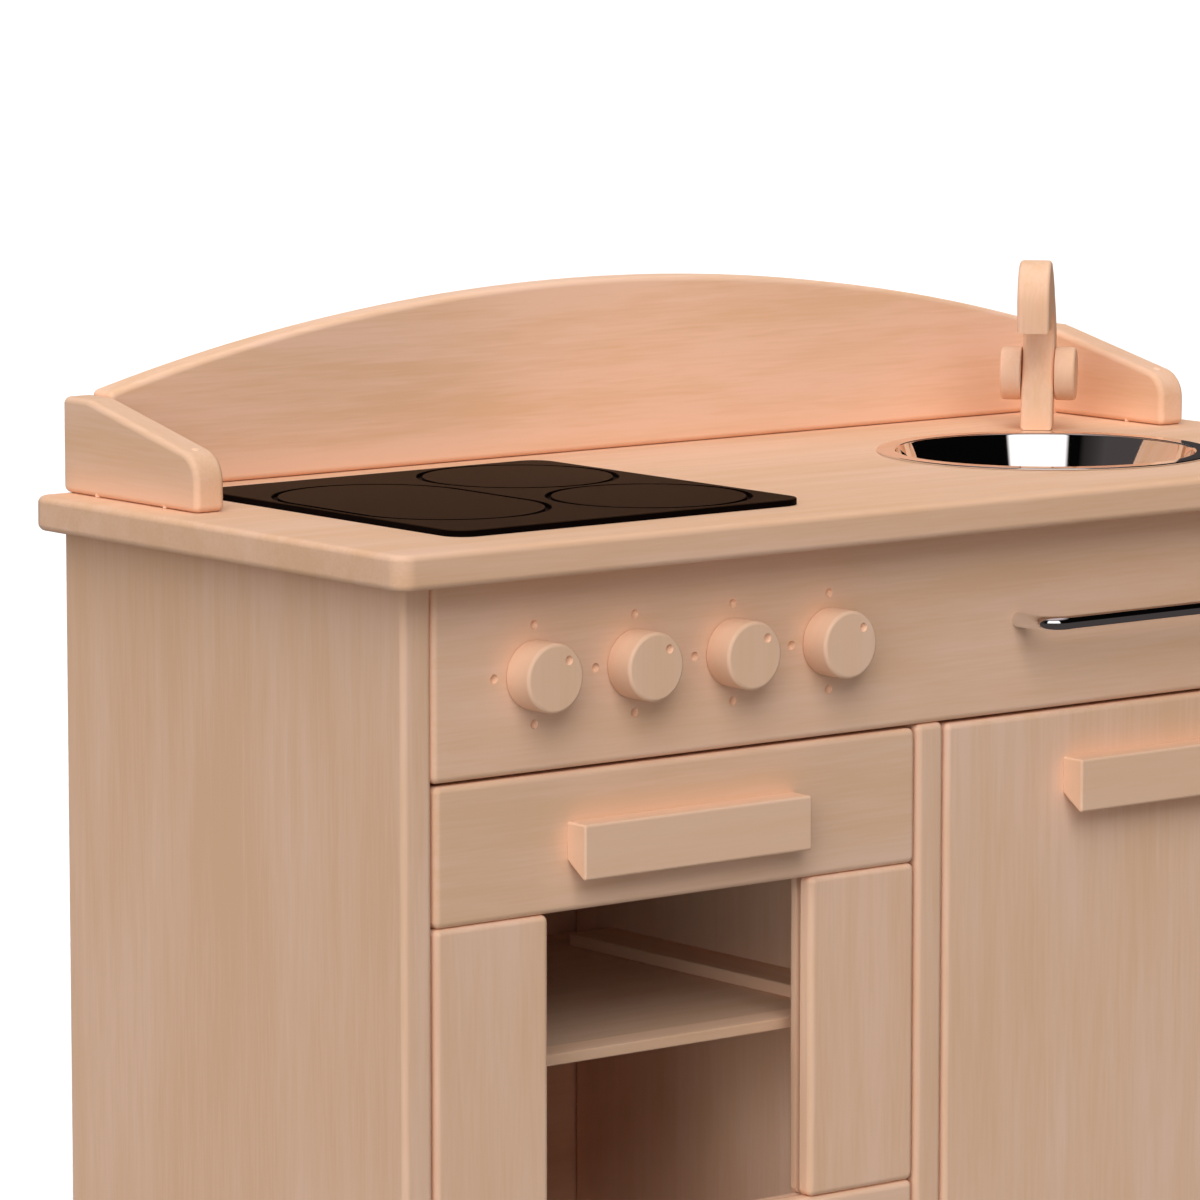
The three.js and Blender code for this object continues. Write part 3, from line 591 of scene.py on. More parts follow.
def board_tone(node_name):
    """Warmth, brightness and figure. Boards without their own entry differ a little from one to the next."""
    if node_name in BOARD_TONES_AND_PAINTED_LIGHT:
        return BOARD_TONES_AND_PAINTED_LIGHT[node_name]
    if "knob" in node_name or "handle" in node_name:
        return TURNED_TONE
    return (0.06 * (boards_made % 3), 1 + 0.008 * (boards_made % 4 - 1.5), 1)


boards_made = 0
GRAIN_STEP = np.array([0.731, 0.417, 0.289], np.float32)   # keeps two boards' grain apart
ACROSS = {"x": Z, "y": X, "z": Y}                          # the axis across each grain axis


def grain_place(mesh, grain_axis):
    """Each vertex's place in the board, with X along the grain. The axis is a name or a direction."""
    if isinstance(grain_axis, Vector):
        along, across = grain_axis, grain_axis.orthogonal().normalized()
    else:
        along, across = AXES[grain_axis], ACROSS[grain_axis]
    points = np.empty(len(mesh.vertices) * 3, np.float32)
    mesh.vertices.foreach_get("co", points)
    basis = np.array([along, across, along.cross(across)], np.float32)
    return points.reshape(-1, 3) @ basis.T + GRAIN_STEP * boards_made


def finish_piece(piece, node_name, grain_axis, sharp_degrees=38, extra_name=None, tone=None):
    """Names and shades the piece, gives it its grain, and lets it ride with its CAD node's body. It stands
    for that node unless it is an extra with a name of its own."""
    global boards_made
    boards_made += 1
    piece.name = extra_name or f"{node_name}_finished"
    mesh = piece.data
    bm = bmesh.new()
    bm.from_mesh(mesh)
    bmesh.ops.remove_doubles(bm, verts=bm.verts, dist=TINY)
    for face in bm.faces:
        face.smooth = True
    for edge in bm.edges:
        edge.smooth = len(edge.link_faces) == 2 and edge.calc_face_angle(0) < math.radians(sharp_degrees)
    bm.to_mesh(mesh)
    bm.free()
    weighted = piece.modifiers.new("normals", "WEIGHTED_NORMAL")
    weighted.keep_sharp = True
    weighted.weight = 100
    settle(piece)
    mesh = piece.data
    place = grain_place(mesh, grain_axis)
    tones = np.tile(tone or board_tone(node_name), (len(place), 1))
    for name, values in (("grain", place), ("tone", tones)):
        attribute = mesh.attributes.new(name, "FLOAT_VECTOR", "POINT")
        attribute.data.foreach_set("vector", values.astype(np.float32).ravel())
    bodies = frame["record"]["behaviour"]["bodies"]
    body = next(name for name, members in bodies.items() if node_name in members)
    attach(piece, body)
    if not extra_name:
        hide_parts(node_name)


def span(node_name):
    """The lower corner, upper corner and size of a CAD node's box."""
    low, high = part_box(node_name)
    return low, high, high - low


def middle_of(node_name):
    low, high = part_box(node_name)
    return (low + high) / 2


def rounded_box(node_name, through, corner, edge, materials):
    """A board that fills its CAD node's box, rounded on every edge. Through is the axis it is sawn along."""
    low, _, size = span(node_name)
    right_name, up_name = {"x": "yz", "y": "zx", "z": "xy"}[through]
    right, up = AXES[right_name], AXES[up_name]
    a, b = "xyz".index(right_name), "xyz".index(up_name)
    outline = round_corners(rectangle(size[a], size[b]), corner)
    return plate(outline, size["xyz".index(through)], low, right, up, edge, materials)


# ---- Plain boards ----

PLAIN_BOARDS = [
    # node, axis it is sawn along, grain axis, slot
    ("side_panel_left", "x", "z", "beech"),
    ("side_panel_right", "x", "z", "beech"),
    ("bottom_board", "z", "x", "beech"),
    ("plinth_board", "y", "x", "beech"),
    ("back_panel", "y", "x", "plywood"),
    ("stop_rail_left", "y", "x", "beech"),
    ("stop_rail_right", "y", "x", "beech"),
    ("oven_shelf", "z", "x", "plywood"),
    ("shelf_cleat_left", "z", "y", "plywood"),
    ("shelf_cleat_right", "z", "y", "plywood"),
    ("control_panel", "y", "x", "beech"),
    ("oven_door_top_rail", "y", "x", "beech"),
    ("oven_door_stile_left", "y", "z", "beech"),
    ("oven_door_stile_right", "y", "z", "beech"),
    ("cupboard_door_panel", "y", "z", "beech"),
]


def pocket_tool(disc_node):
    """The pocket that a let-in magnet or strike sits in, open towards its visible face."""
    low, high, size = span(disc_node)
    middle = middle_of(disc_node)
    before, behind = (CLEAR, DISC_POCKET) if "strike" in disc_node else (DISC_POCKET, CLEAR)
    start = (middle.x, low.y - before, middle.z)
    return rod_tool(start, (middle.x, high.y + behind, middle.z), size.x / 2 + CLEAR)


def pin_tool(pin_node):
    """A bore for a pin or dowel that lies along x or stands upright."""
    size, middle = span(pin_node)[2], middle_of(pin_node)
    along = X if size.x > size.z else Z
    reach = max(size) / 2 + CLEAR
    return rod_tool(middle - along * reach, middle + along * reach, min(size) / 2 + CLEAR)


def screw_tool(screw_node):
    """A bore for a screw that points to the front."""
    low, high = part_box(screw_node)
    middle = middle_of(screw_node)
    start = (middle.x, low.y - CLEAR, middle.z)
    return rod_tool(start, (middle.x, high.y, middle.z), SCREW_RADIUS + CLEAR)


def screw_pair(owner):
    return [screw_tool(f"{owner}_screw_{side}") for side in ("left", "right")]


def pane_tool():
    low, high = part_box("oven_door_pane")
    grow = Vector((CLEAR, CLEAR, CLEAR))
    return box_tool(low - grow, high + grow)


def dimple_tools(centre, face_y, places):
    """Shallow round hollows in a face that looks to the front."""
    sphere = (DIMPLE_RADIUS ** 2 + DIMPLE_DEPTH ** 2) / (2 * DIMPLE_DEPTH)
    return [ball_tool((centre.x + dx, face_y - sphere + DIMPLE_DEPTH, centre.z + dz), sphere)
            for dx, dz in places]


knob_centres = [Vector(joints[f"knob_{i}_turn"]["pos_m"]) for i in range(1, 5)]
panel_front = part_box("control_panel")[0].y
mark_places = [(KNOB_MARK_RADIUS * dx, KNOB_MARK_RADIUS * dz)
               for dx, dz in ((0, 1), (-1, 0), (0, -1), (1, 0))]

# What is cut out of a board: a function for each, so that its cutters are made just before they are used.
CUTS = {
    "side_panel_left": lambda: [pin_tool("oven_pin_left")],
    "bottom_board": lambda: [pin_tool("cupboard_pin_bottom")],
    "stop_rail_left": lambda: [pocket_tool("oven_magnet")],
    "stop_rail_right": lambda: [pocket_tool("cupboard_magnet")],
    "control_panel": lambda: [
        *[screw_tool(f"knob_screw_{i}") for i in range(1, 5)],
        *screw_pair("towel_rail"),
        pin_tool("cupboard_pin_top"),
        *[tool for centre in knob_centres for tool in dimple_tools(centre, panel_front, mark_places)],
    ],
    "oven_door_top_rail": lambda: [pane_tool(), pocket_tool("oven_strike"), *screw_pair("oven_handle")],
    "oven_door_stile_left": lambda: [pane_tool()],
    "oven_door_stile_right": lambda: [pane_tool()],
    "cupboard_door_panel": lambda: [
        pocket_tool("cupboard_strike"),
        pin_tool("cupboard_pin_top"), pin_tool("cupboard_pin_bottom"),
        *screw_pair("cupboard_handle"),
    ],
}

for node_name, through, grain_axis, slot_name in PLAIN_BOARDS:
    thin = slot_name == "plywood"
    edge = THIN_EDGE if thin else BOARD_EDGE
    board = rounded_box(node_name, through, edge * CORNER_SHARE, edge, [plywood if thin else wood])
    if node_name in CUTS:
        cut(board, *CUTS[node_name]())
    finish_piece(board, node_name, grain_axis)


# ---- Boards with an outline of their own ----

def make_divider():
    low, _, size = span("centre_divider")
    panel_low, panel_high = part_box("control_panel")
    notch_back = panel_high.y - low.y + NOTCH_GAP
    notch_floor = panel_low.z - low.z - NOTCH_GAP
    outline = [(0, 0), (size.y, 0), (size.y, size.z), (notch_back, size.z), (notch_back, notch_floor),
               (0, notch_floor)]
    radii = [BOARD_CORNER] * 4 + [0, BOARD_CORNER]
    piece = plate(round_corners(outline, radii), size.x, low, Y, Z, BOARD_EDGE, [wood])
    cut(piece, pin_tool("oven_pin_right"))
    finish_piece(piece, "centre_divider", "z")


def make_bottom_rail():
    low, _, size = span("oven_door_bottom_rail")
    outline = round_corners(rectangle(size.y, size.z), [DOOR_HEEL] + [BOARD_CORNER] * 3, 7)
    piece = plate(outline, size.x, low, Y, Z, BOARD_EDGE, [wood])
    cut(piece, pane_tool(), pin_tool("oven_pin_left"), pin_tool("oven_pin_right"))
    finish_piece(piece, "oven_door_bottom_rail", "x")


def make_worktop():
    low, high, size = span("worktop")
    outline = round_corners(rectangle(size.x, size.y), WORKTOP_CORNER, 8)
    piece = plate(outline, size.z, low, X, Y, WORKTOP_EDGE, [wood], steps=6)
    sink, tap = middle_of("sink_bowl"), middle_of("tap_dowel")
    cut(piece,
        rod_tool((sink.x, sink.y, low.z - MM), (sink.x, sink.y, high.z + MM), SINK_HOLE, 96),
        rod_tool((tap.x, tap.y, low.z - MM), (tap.x, tap.y, high.z + MM), SPINDLE_BORE),
        *[pin_tool(f"wing_dowel_{side}_{k}") for side in ("left", "right") for k in (1, 2)])
    finish_piece(piece, "worktop", "x")


def make_backsplash():
    """The top edge is one arc from end to end."""
    low, high, size = span("backsplash")
    half = size.x / 2
    rise = size.z - BACKSPLASH_END
    radius = (half ** 2 + rise ** 2) / (2 * rise)
    spread = math.degrees(math.asin(half / radius))
    crown = arc(half, size.z - radius, radius, 90 - spread, 90 + spread, CROWN_STEPS)[1:-1]
    outline = [(0, 0), (size.x, 0), (size.x, BACKSPLASH_END), *crown, (0, BACKSPLASH_END)]
    radii = [BOARD_CORNER] * 3 + [0] * len(crown) + [BOARD_CORNER]
    corner = Vector((low.x, high.y, low.z))
    piece = plate(round_corners(outline, radii), size.y, corner, X, Z, BOARD_EDGE, [wood])
    finish_piece(piece, "backsplash", "x")


def make_wing(side):
    node_name = f"wing_{side}"
    low, high, size = span(node_name)
    outline = [(0, 0), (size.y, 0), (size.y, size.z), (size.y - WING_FLAT, size.z), (0, WING_FRONT)]
    radii = [BOARD_CORNER] * 3 + [WING_SHOULDER, WING_NOSE]
    piece = plate(round_corners(outline, radii, 9), size.x, low, Y, Z, BOARD_EDGE, [wood], steps=5)
    dowels = [f"wing_dowel_{side}_{k}" for k in (1, 2)]
    cut(piece, *[pin_tool(dowel) for dowel in dowels])
    for dowel in dowels:
        y = middle_of(dowel).y
        for x in (low.x + PEG_INSET, high.x - PEG_INSET):
            join(piece, rod_tool((x, y, low.z), (x, y, low.z + PEG_HEIGHT), PEG_RADIUS, 16))
    finish_piece(piece, node_name, "y")
    make_wing_plug(side)


def make_wing_plug(side):
    """A shallow button in the middle of the slope, in paler wood that partly paints a highlight on it."""
    low, _, size = span(f"wing_{side}")
    slope = math.atan2(size.z - WING_FRONT, size.y - WING_FLAT)
    along = Vector((0, math.cos(slope), math.sin(slope)))
    upward = X.cross(along)
    place = low + Vector((size.x / 2, 0, WING_FRONT)) + along * PLUG_PLACE
    sunk, shoulder, brow, top = -0.3 * MM, 0.05 * MM, 0.25 * MM, 0.3 * MM
    profile = [(0, sunk), (PLUG_RADIUS, sunk), (PLUG_RADIUS, shoulder), (PLUG_RADIUS - top, brow), (0, top)]
    plug = turned(profile, place, upward, [wood], 24)
    finish_piece(plug, f"wing_{side}", upward, extra_name=f"wing_plug_{side}", tone=PLUG_TONE_AND_PAINTED_HIGHLIGHT)


def make_handle(door):
    """A bar whose underside slopes up to the door. Its back is sawn off flat there."""
    node_name = f"{door}_door_handle"
    low, high, size = span(node_name)
    slope = (size.z - HANDLE_BACK) / size.y
    reach = size.y + HANDLE_SPARE
    outline = [(0, size.z), (0, 0), (reach, slope * reach), (reach, size.z)]
    radii = [HANDLE_EDGE * CORNER_SHARE] * 2 + [0, 0]
    piece = plate(round_corners(outline, radii), size.x, low, Y, Z, HANDLE_EDGE, [wood])
    trim(piece, Vector((0, high.y, 0)), Y)
    cut(piece, *screw_pair(f"{door}_handle"))
    finish_piece(piece, node_name, "x")


make_divider()
make_bottom_rail()
make_worktop()
make_backsplash()
for side in ("left", "right"):
    make_wing(side)
for door in ("oven", "cupboard"):
    make_handle(door)


# ---- Hob ----

def ring_tool(path, top):
    """A closed bar that cuts an upright-walled groove into the plate and lines it with near-black painted
    shade.
    """
    half = RING_WIDTH / 2
    section = [(-half, -RING_DEPTH), (half, -RING_DEPTH), (half, MM), (-half, MM)]
    return swept(path, section, top, [hob_black_and_groove_shade], closed=True)


def make_hob():
    """A dark plate with two round rings and an oval one, their grooves darkened with painted shade. Its sawn
    sides are black.
    """
    low, high, size = span("hob_plate")
    middle = middle_of("hob_plate")
    outline = round_corners(rectangle(size.x, size.y), HOB_CORNER, 12)
    piece = plate(outline, size.z, low, X, Y, HOB_FOOT, [hob_dark, hob_black_and_groove_shade], back_edge=HOB_EDGE)
    across, along = RING_PLACE
    paths = [arc(middle.x + across, middle.y + y, RING_RADIUS, 0, 360, 2 * HALF_STEPS)[:-1]
             for y in (-along, along)]
    oval_x = middle.x + OVAL_PLACE
    paths.append(arc(oval_x, middle.y + OVAL_REACH, OVAL_RADIUS, 0, 180, HALF_STEPS)[:-1]
                 + arc(oval_x, middle.y - OVAL_REACH, OVAL_RADIUS, 180, 360, HALF_STEPS)[1:-1])
    cut(piece, *[ring_tool(path, high.z) for path in paths])
    for face in piece.data.polygons:
        if abs(face.normal.z) < 0.9 and face.center.z < high.z - 0.5 * HOB_EDGE:
            face.material_index = 1
    finish_piece(piece, "hob_plate", "x")


make_hob()


# ---- Sink ----

def make_sink():
    """A leaning wall and a round bend to the floor, hung in the worktop by a flat flange."""
    _, high, size = span("sink_bowl")
    middle = middle_of("sink_bowl")
    outer = size.x / 2
    depth = size.z - SINK_SHEET
    sine, cosine = math.sin(SINK_LEAN), math.cos(SINK_LEAN)
    bend_height = SINK_BEND - depth
    floor_radius = SINK_RADIUS - (SINK_BEND - bend_height * sine) / cosine
    lean = math.degrees(SINK_LEAN)
    lip_reach = SINK_LIP * math.tan((math.pi / 2 - SINK_LEAN) / 2)
    inside = [
        *arc(outer - SINK_RIM, -SINK_RIM, SINK_RIM, -90, 90, 8),
        *arc(SINK_RADIUS + lip_reach, -SINK_LIP, SINK_LIP, 90, 180 - lean, 7),
        *arc(floor_radius, bend_height, SINK_BEND, -lean, -90, 14),
        (floor_radius / 2, -depth), (0, -depth),
    ]
    outside = [
        (0, -depth - SINK_SHEET), (floor_radius / 2, -depth - SINK_SHEET),
        *arc(floor_radius, bend_height, SINK_BEND + SINK_SHEET, -90, -lean, 14),
        (SINK_RADIUS + SINK_SHEET * (cosine - (1 - sine) * sine / cosine), -SINK_SHEET),
    ]
    piece = turned(outside + inside, (middle.x, middle.y, high.z), Z, [polished], 128)
    finish_piece(piece, "sink_bowl", "z")


make_sink()


# ---- Turned wooden pieces ----

def knob_profile(radius, height, edge, bore, bore_depth, back_edge):
    """From the bottom of the bore round the back and the rim to the middle of the face."""
    return [
        (0, bore_depth), (bore, bore_depth), (bore, 0),
        *arc(radius - back_edge, back_edge, back_edge, -90, 0, 3),
        *arc(radius - edge, height - edge, edge, 0, 90, 7),
        (radius * 0.5, height), (0, height),
    ]


def make_control_knob(index):
    node_name = f"control_knob_{index}"
    low, high, size = span(node_name)
    centre = knob_centres[index - 1]
    bore_depth = high.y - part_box(f"knob_screw_{index}")[0].y + CLEAR
    profile = knob_profile(size.x / 2, size.y, KNOB_EDGE, SCREW_RADIUS + CLEAR, bore_depth, KNOB_BACK_EDGE)
    piece = turned(profile, (centre.x, high.y, centre.z), -Y, [wood], 72)
    cut(piece, *dimple_tools(centre, low.y, [POINTER_PLACE]))
    finish_piece(piece, node_name, "z")


tap_pivot = Vector(joints["tap_swivel"]["pos_m"])
tap_right = Vector(joints["right_tap_handle_turn"]["axis"]).normalized()
tap_forward = Vector((tap_right.y, -tap_right.x, 0)).normalized()
cross_pivot = Vector(joints["right_tap_handle_turn"]["pos_m"])
axle_reach = TAP_THICKNESS / 2 + TAP_GAP + AXLE_DEPTH   # from the tap's middle to either end


def make_tap_knob(side, sign):
    node_name = f"tap_knob_{side}"
    radius = span(node_name)[2].z / 2
    profile = knob_profile(radius, TAP_KNOB_THICKNESS, TAP_KNOB_EDGE, AXLE_BORE,
                           AXLE_DEPTH + CLEAR, TAP_KNOB_BACK_EDGE)
    outward = tap_right * sign
    start = cross_pivot + outward * (TAP_THICKNESS / 2 + TAP_GAP)
    piece = turned(profile, start, outward, [wood], 60)
    finish_piece(piece, node_name, "z")


def bezier(points, steps=14):
    """Points along a chain of cubic curves, given in millimetres. Each one's last point starts the next."""
    points = [Vector(point) * MM for point in points]
    result = []
    for i in range(0, len(points) - 1, 3):
        a, b, c, d = points[i:i + 4]
        for k in range(steps):
            t = k / steps
            result.append(a * (1 - t) ** 3 + b * 3 * t * (1 - t) ** 2 + c * 3 * t * t * (1 - t) + d * t ** 3)
    return result + points[-1:]


def make_tap_body():
    """Swan neck. Its points are (in front of the swivel axis, height) in millimetres."""
    underside = [
        (7.5, 0), (7.5, 26), (-6.5, 34), (-6.5, 51),
        (-6.5, 59), (-0.75, 65), (6.25, 65),
        (13.25, 65), (19, 63), (19, 57),
    ]
    upper_side = [
        (35.3, 57), (36, 62), (36.5, 68), (36.5, 74),
        (36.5, 85), (28, 96.5), (15, 96.5),
        (7, 96.5), (-20, 67), (-24, 51),
        (-24, 34), (-7.5, 22), (-7.5, 0),
    ]
    origin = tap_pivot + tap_right * TAP_THICKNESS / 2
    outline = bezier(underside) + bezier(upper_side)
    piece = plate(outline, TAP_THICKNESS, origin, tap_forward, Z, TAP_EDGE, [wood], steps=5)
    reach = tap_right * 20 * MM   # well past both faces
    cut(piece,
        rod_tool(tap_pivot - Z * 5 * MM, tap_pivot + Z * SPINDLE_DEPTH, SPINDLE_BORE),
        rod_tool(cross_pivot - reach, cross_pivot + reach, AXLE_BORE))
    finish_piece(piece, "tap_body", "z")


def dowel_profile(radius, length):
    chamfer = DOWEL_CHAMFER
    return [(0, 0), (radius - chamfer, 0), (radius, chamfer), (radius, length - chamfer),
            (radius - chamfer, length), (0, length)]


def make_dowel(node_name, axis, mat):
    """A round rod that fills its CAD node's box along one axis."""
    size = span(node_name)[2]
    k = "xyz".index(axis)
    radius = min(size[i] for i in range(3) if i != k) / 2
    start = middle_of(node_name) - AXES[axis] * size[k] / 2
    piece = turned(dowel_profile(radius, size[k]), start, AXES[axis], [mat], 32)
    finish_piece(piece, node_name, axis)


def make_tap_axle():
    start = middle_of("tap_axle") - tap_right * axle_reach
    profile = dowel_profile(span("tap_axle")[2].z / 2, 2 * axle_reach)
    piece = turned(profile, start, tap_right, [wood], 32)
    finish_piece(piece, "tap_axle", tap_right)


def make_retainer():
    """A ring on the tap's spindle, with its outer corners taken off."""
    low, _, size = span("tap_retainer")
    middle = middle_of("tap_retainer")
    outer, bore, height, chamfer = size.x / 2, SPINDLE_BORE, size.z, RETAINER_CHAMFER
    profile = [(bore, 0), (outer - chamfer, 0), (outer, chamfer), (outer, height - chamfer),
               (outer - chamfer, height), (bore, height), (bore, 0)]
    piece = turned(profile, (middle.x, middle.y, low.z), Z, [wood], 48)
    finish_piece(piece, "tap_retainer", "x")


for index in range(1, 5):
    make_control_knob(index)
make_tap_body()
make_tap_knob("left", -1)
make_tap_knob("right", 1)
make_dowel("tap_dowel", "z", wood)
make_tap_axle()
make_retainer()
for side in ("left", "right"):
    for k in (1, 2):
        make_dowel(f"wing_dowel_{side}_{k}", "z", wood)


# ---- Towel rail, screws, pins and magnets ----

def make_towel_rail():
    """A round bar along a flat path: foot, bend, bar, bend, foot."""
    low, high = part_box("towel_rail")
    left, right = low.x + RAIL_RADIUS, high.x - RAIL_RADIUS
    bend_y = low.y + RAIL_RADIUS + RAIL_BEND
    path = [
        (left, high.y), (left, high.y - RAIL_FOOT),
        *arc(left + RAIL_BEND, bend_y, RAIL_BEND, 180, 270, 12),
        *arc(right - RAIL_BEND, bend_y, RAIL_BEND, 270, 360, 12),
        (right, high.y - RAIL_FOOT), (right, high.y),
    ]
    section = arc(0, 0, RAIL_RADIUS, 0, 360, 32)[:-1]
    piece = swept(path, section, middle_of("towel_rail").z, [chrome])
    cut(piece, *screw_pair("towel_rail"))
    finish_piece(piece, "towel_rail", "x")


def make_screw(node_name):
    """A pan-head screw with a cross recess. Its head is at the back and its point at the front."""
    low, high, size = span(node_name)
    middle = middle_of(node_name)
    head_radius, head, shank = size.x / 2, SCREW_HEAD, SCREW_RADIUS
    length = size.y - head
    profile = [
        (0, 0), (shank * 0.4, 0), (shank, SCREW_POINT), (shank, length), (head_radius, length),
        (head_radius, length + SCREW_RIM),
        *arc(head_radius - SCREW_DOME, length + head - 1.6 * MM, SCREW_DOME, 20, 80, 4),
        (head_radius * 0.45, length + head - 0.03 * MM), (0, length + head),
    ]
    piece = turned(profile, (middle.x, low.y, middle.z), Y, [zinc], 32)
    cutters = []
    bottom = Vector((middle.x, high.y - RECESS_DEPTH, middle.z))
    top = Vector((middle.x, high.y + MM, middle.z))
    for across, upright in ((RECESS_ARM, RECESS_WIDTH), (RECESS_WIDTH, RECESS_ARM)):
        half = Vector((across, 0, upright))
        cutters.append(box_tool(bottom - half, top + half))
    cut(piece, *cutters)
    finish_piece(piece, node_name, "y", sharp_degrees=30)


make_towel_rail()
for index in range(1, 5):
    make_screw(f"knob_screw_{index}")
for owner in ("oven_handle", "cupboard_handle", "towel_rail"):
    for side in ("left", "right"):
        make_screw(f"{owner}_screw_{side}")
for node_name, axis in (("oven_pin_left", "x"), ("oven_pin_right", "x"), ("cupboard_pin_top", "z"),
                        ("cupboard_pin_bottom", "z")):
    make_dowel(node_name, axis, zinc)
for node_name in ("oven_magnet", "cupboard_magnet", "oven_strike", "cupboard_strike"):
    make_dowel(node_name, "y", nickel)


# ---- Pane and the shelf's lip ----

def make_shelf_lip():
    """A paler strip of wood let into the shelf's top along its front, just proud of it."""
    low, high, size = span("oven_shelf")
    outline = rectangle(size.x - 2 * THIN_EDGE, SHELF_LIP)
    origin = Vector((low.x + THIN_EDGE, low.y + THIN_EDGE, high.z - SHELF_LIP_SUNK))
    thickness = SHELF_LIP_SUNK + SHELF_LIP_HEIGHT
    piece = plate(outline, thickness, origin, X, Y, 0.05 * MM, [plywood], steps=1)
    finish_piece(piece, "oven_shelf", "x", extra_name="shelf_lip", tone=LIP_TONE)


pane = rounded_box("oven_door_pane", "y", 2 * PANE_EDGE, PANE_EDGE, [pane_clear])
finish_piece(pane, "oven_door_pane", "x")
make_shelf_lip()


# ---- Floor, light and camera ----

FLOOR_SIZE = 60              # half the floor's width
FLOOR_GAP = 0.5 * MM         # under the feet
CEILING = 0.04               # brightness of the room above the horizon
BELOW = 0.30                 # and below it
SOFTBOX_X, SOFTBOX_Y = -0.588, -0.809   # towards the softbox that metal mirrors, seen from the object
LIGHTS = [
    # name, degrees from the front towards the left, degrees above the floor, strength, width in degrees
    ("key", 36, 42, 0.55, 42),
    ("low_left", 70, 13, 0.31, 42),
    ("front", 5, 12, 0.08, 50),
    ("overhead", 0, 90, 0.31, 50),
    ("back", 170, 62, 0.18, 50),
    ("right_fill", -135, 4, 0.26, 45),
]
BAY_COLOUR = (0.88, 0.96, 1.0)
CAMERA_PLACE = (-2.2464, -2.69975, 0.9069)
CAMERA_TURN = -38.3004       # degrees from straight ahead, to the right
CAMERA_DIP = 7.69994         # degrees below the horizon
CAMERA_LENS, CAMERA_SENSOR = 199.55, 36


def make_floor():
    """A wide pale sheet just under the feet. It adds no light of its own to the object."""
    bm = bmesh.new()
    bmesh.ops.create_grid(bm, x_segments=2, y_segments=2, size=FLOOR_SIZE)
    floor = mesh_object(bm, [], "floor")
    mat, _, shader = new_material("pale_floor")
    shader.inputs["Base Color"].default_value = (0.96, 0.96, 0.96, 1)
    shader.inputs["Roughness"].default_value = 0.9
    shader.inputs["Specular IOR Level"].default_value = 0.0
    shader.inputs["Emission Color"].default_value = (1, 1, 1, 1)
    shader.inputs["Emission Strength"].default_value = 0.16
    floor.data.materials.append(mat)
    floor.location.z = -FLOOR_GAP
    floor.visible_diffuse = False
    floor.visible_glossy = False


def softboxes(tree, x, y, z):
    """What polished metal mirrors: a dark room with one upright softbox, a dim wall beside it, a ceiling
    and a dim floor. Gives the brightness and the colour."""
    def add(first, second):
        return math_node(tree, "ADD", first, second)

    def times(first, second):
        return math_node(tree, "MULTIPLY", first, second)

    # Sideways is the tangent of the angle from the softbox's middle, and z the sine of the height.
    towards = add(times(x, SOFTBOX_X), times(y, SOFTBOX_Y))
    across = add(times(x, -SOFTBOX_Y), times(y, SOFTBOX_X))
    sideways = math_node(tree, "DIVIDE", across, math_node(tree, "MAXIMUM", towards, 0.01))
    narrow = remap(tree, math_node(tree, "ABSOLUTE", sideways), 0.44, 0.50, 1, 0)
    tall = times(remap(tree, z, 0.20, 0.24, 0, 1), remap(tree, z, 0.75, 0.80, 1, 0))
    box = times(narrow, tall)
    wall = add(remap(tree, sideways, -0.72, -0.84, 0, 0.024), remap(tree, sideways, -0.84, -1.6, 0, 0.045))
    wall = times(wall, remap(tree, z, 0.10, 0.20, 0, 1))
    ceiling = remap(tree, z, 0.80, 0.95, 0, 0.6)
    ground = remap(tree, z, 0.16, 0.11, 0.002, 0.06)
    brightness = add(add(add(times(box, 1.25), ceiling), wall), ground)
    return brightness, mix_colour(tree, box, (1, 0.84, 0.84, 1), (1, 1, 1, 1))


def make_world():
    """A white backdrop for the camera, an even room for the object and the softboxes for its gloss."""
    world = bpy.data.worlds.new("studio")
    bpy.context.scene.world = world
    world.use_nodes = True
    tree = world.node_tree
    tree.nodes.clear()
    out = tree.nodes.new("ShaderNodeOutputWorld")
    direction = node(tree, "ShaderNodeTexCoord").outputs["Generated"]
    split = node(tree, "ShaderNodeSeparateXYZ")
    link(tree, direction, split.inputs[0])
    x, y, z = split.outputs
    strength = remap(tree, z, -0.08, 0.08, BELOW, CEILING)
    lit = node(tree, "ShaderNodeBackground", in_Color=(1, 1, 1, 1))
    link(tree, strength, lit.inputs["Strength"])
    seen = node(tree, "ShaderNodeBackground", in_Strength=1.0, in_Color=(1, 1, 1, 1))
    mirrored = node(tree, "ShaderNodeBackground")
    brightness, colour = softboxes(tree, x, y, z)
    link(tree, brightness, mirrored.inputs["Strength"])
    link(tree, colour, mirrored.inputs["Color"])
    path = node(tree, "ShaderNodeLightPath")
    result = lit
    for ray, other in (("Is Glossy Ray", mirrored), ("Is Camera Ray", seen)):
        choice = node(tree, "ShaderNodeMixShader")
        link(tree, path.outputs[ray], choice.inputs[0])
        link(tree, result.outputs[0], choice.inputs[1])
        link(tree, other.outputs[0], choice.inputs[2])
        result = choice
    link(tree, result.outputs[0], out.inputs["Surface"])


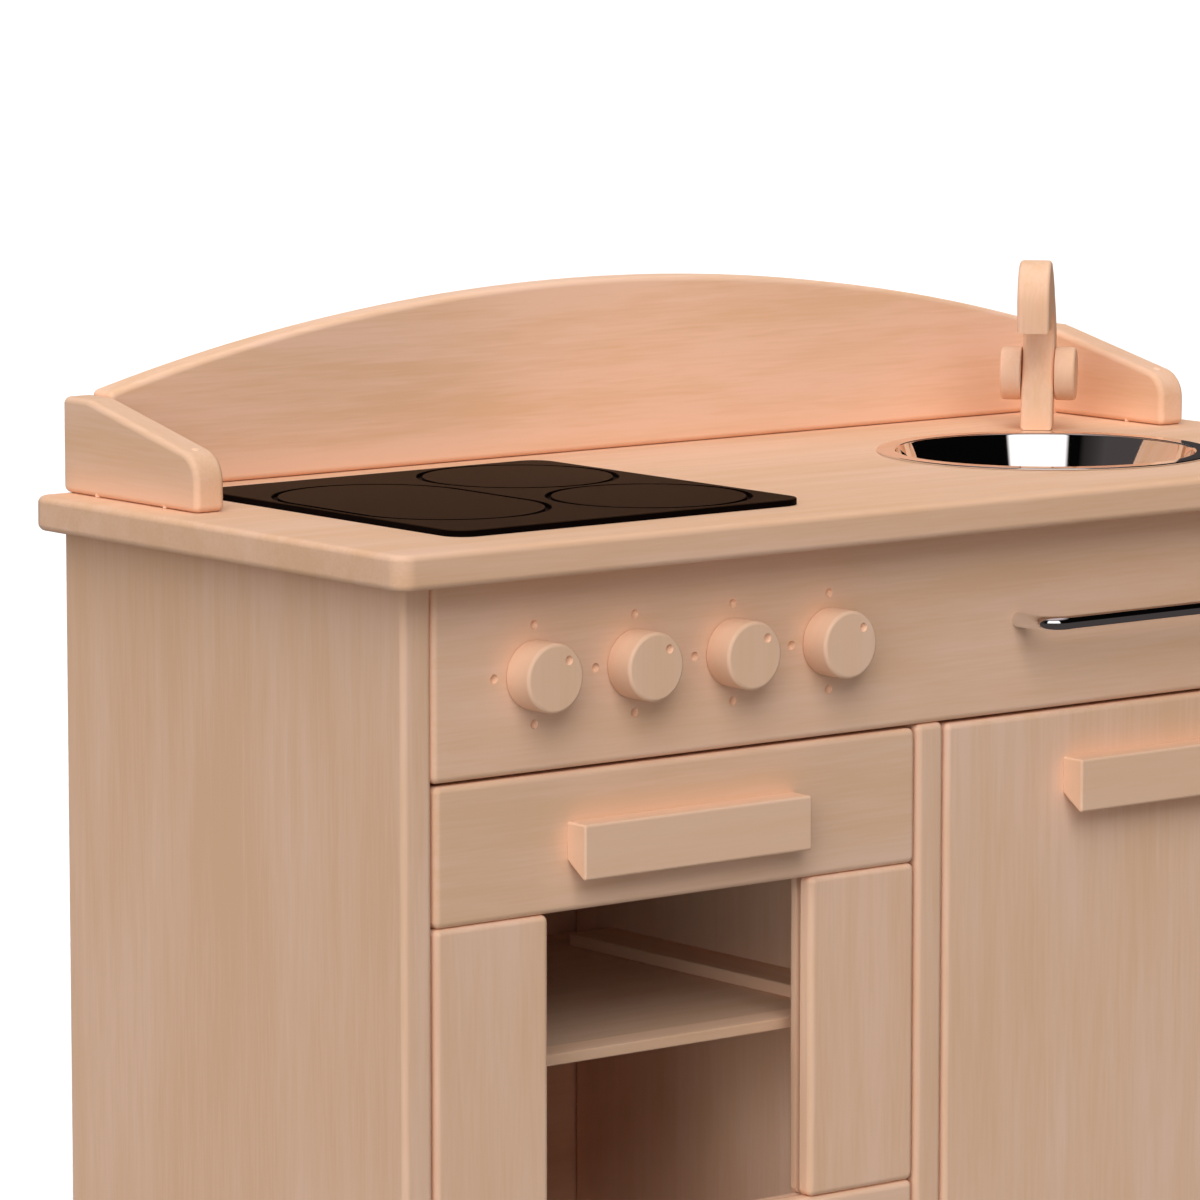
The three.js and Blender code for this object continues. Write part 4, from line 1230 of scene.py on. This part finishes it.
def place_light(data, towards, place=(0, 0, 0)):
    """Stands a light that doesn't show itself in metal. Towards is where its light comes from."""
    light = bpy.data.objects.new(data.name, data)
    light.visible_glossy = False
    light.location = place
    light.rotation_mode = "QUATERNION"
    light.rotation_quaternion = towards.to_track_quat("Z", "Y")
    bpy.context.scene.collection.objects.link(light)
    return light


def make_light(name, azimuth, elevation, strength, width):
    """Strength is the share of a white surface's brightness that the light gives when it faces it."""
    data = bpy.data.lights.new(name, "SUN")
    data.energy = strength * math.pi
    data.angle = math.radians(width)
    turn, lift = math.radians(azimuth), math.radians(elevation)
    level = math.cos(lift)
    place_light(data, Vector((-math.sin(turn) * level, -math.cos(turn) * level, math.sin(lift))))


def make_bay_light(name, place, width, height, strength, spread):
    """A weak panel inside the oven that faces the divider: light that the wood throws about in there."""
    data = bpy.data.lights.new(name, "AREA")
    data.shape = "RECTANGLE"
    data.size, data.size_y = width, height
    data.energy = strength
    data.color = BAY_COLOUR
    data.spread = math.radians(spread)
    place_light(data, -X, place).visible_camera = False


def make_camera():
    data = bpy.data.cameras.new("camera")
    data.sensor_width = CAMERA_SENSOR
    data.lens = CAMERA_LENS
    data.clip_start, data.clip_end = 0.1, 200
    camera = bpy.data.objects.new("camera", data)
    camera.location = CAMERA_PLACE
    camera.rotation_euler = (math.radians(90 - CAMERA_DIP), 0, math.radians(CAMERA_TURN))
    bpy.context.scene.collection.objects.link(camera)
    bpy.context.scene.camera = camera


make_floor()
make_world()
for light in LIGHTS:
    make_light(*light)
shelf_low, shelf_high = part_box("oven_shelf")
divider_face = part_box("centre_divider")[0].x
# The low panel stands under the shelf near the divider, the high one above the shelf at the left wall.
under_shelf = Vector((divider_face - 66 * MM, shelf_low.y + 66 * MM, shelf_low.z - 85 * MM))
over_shelf = Vector((shelf_low.x + 8 * MM, shelf_low.y + 45 * MM, shelf_high.z + 60 * MM))
make_bay_light("bounce_low", under_shelf, 120 * MM, 80 * MM, 0.016, 180)
make_bay_light("bounce_high", over_shelf, 50 * MM, 110 * MM, 0.015, 75)
make_camera()
bpy.context.scene.view_settings.view_transform = "Standard"
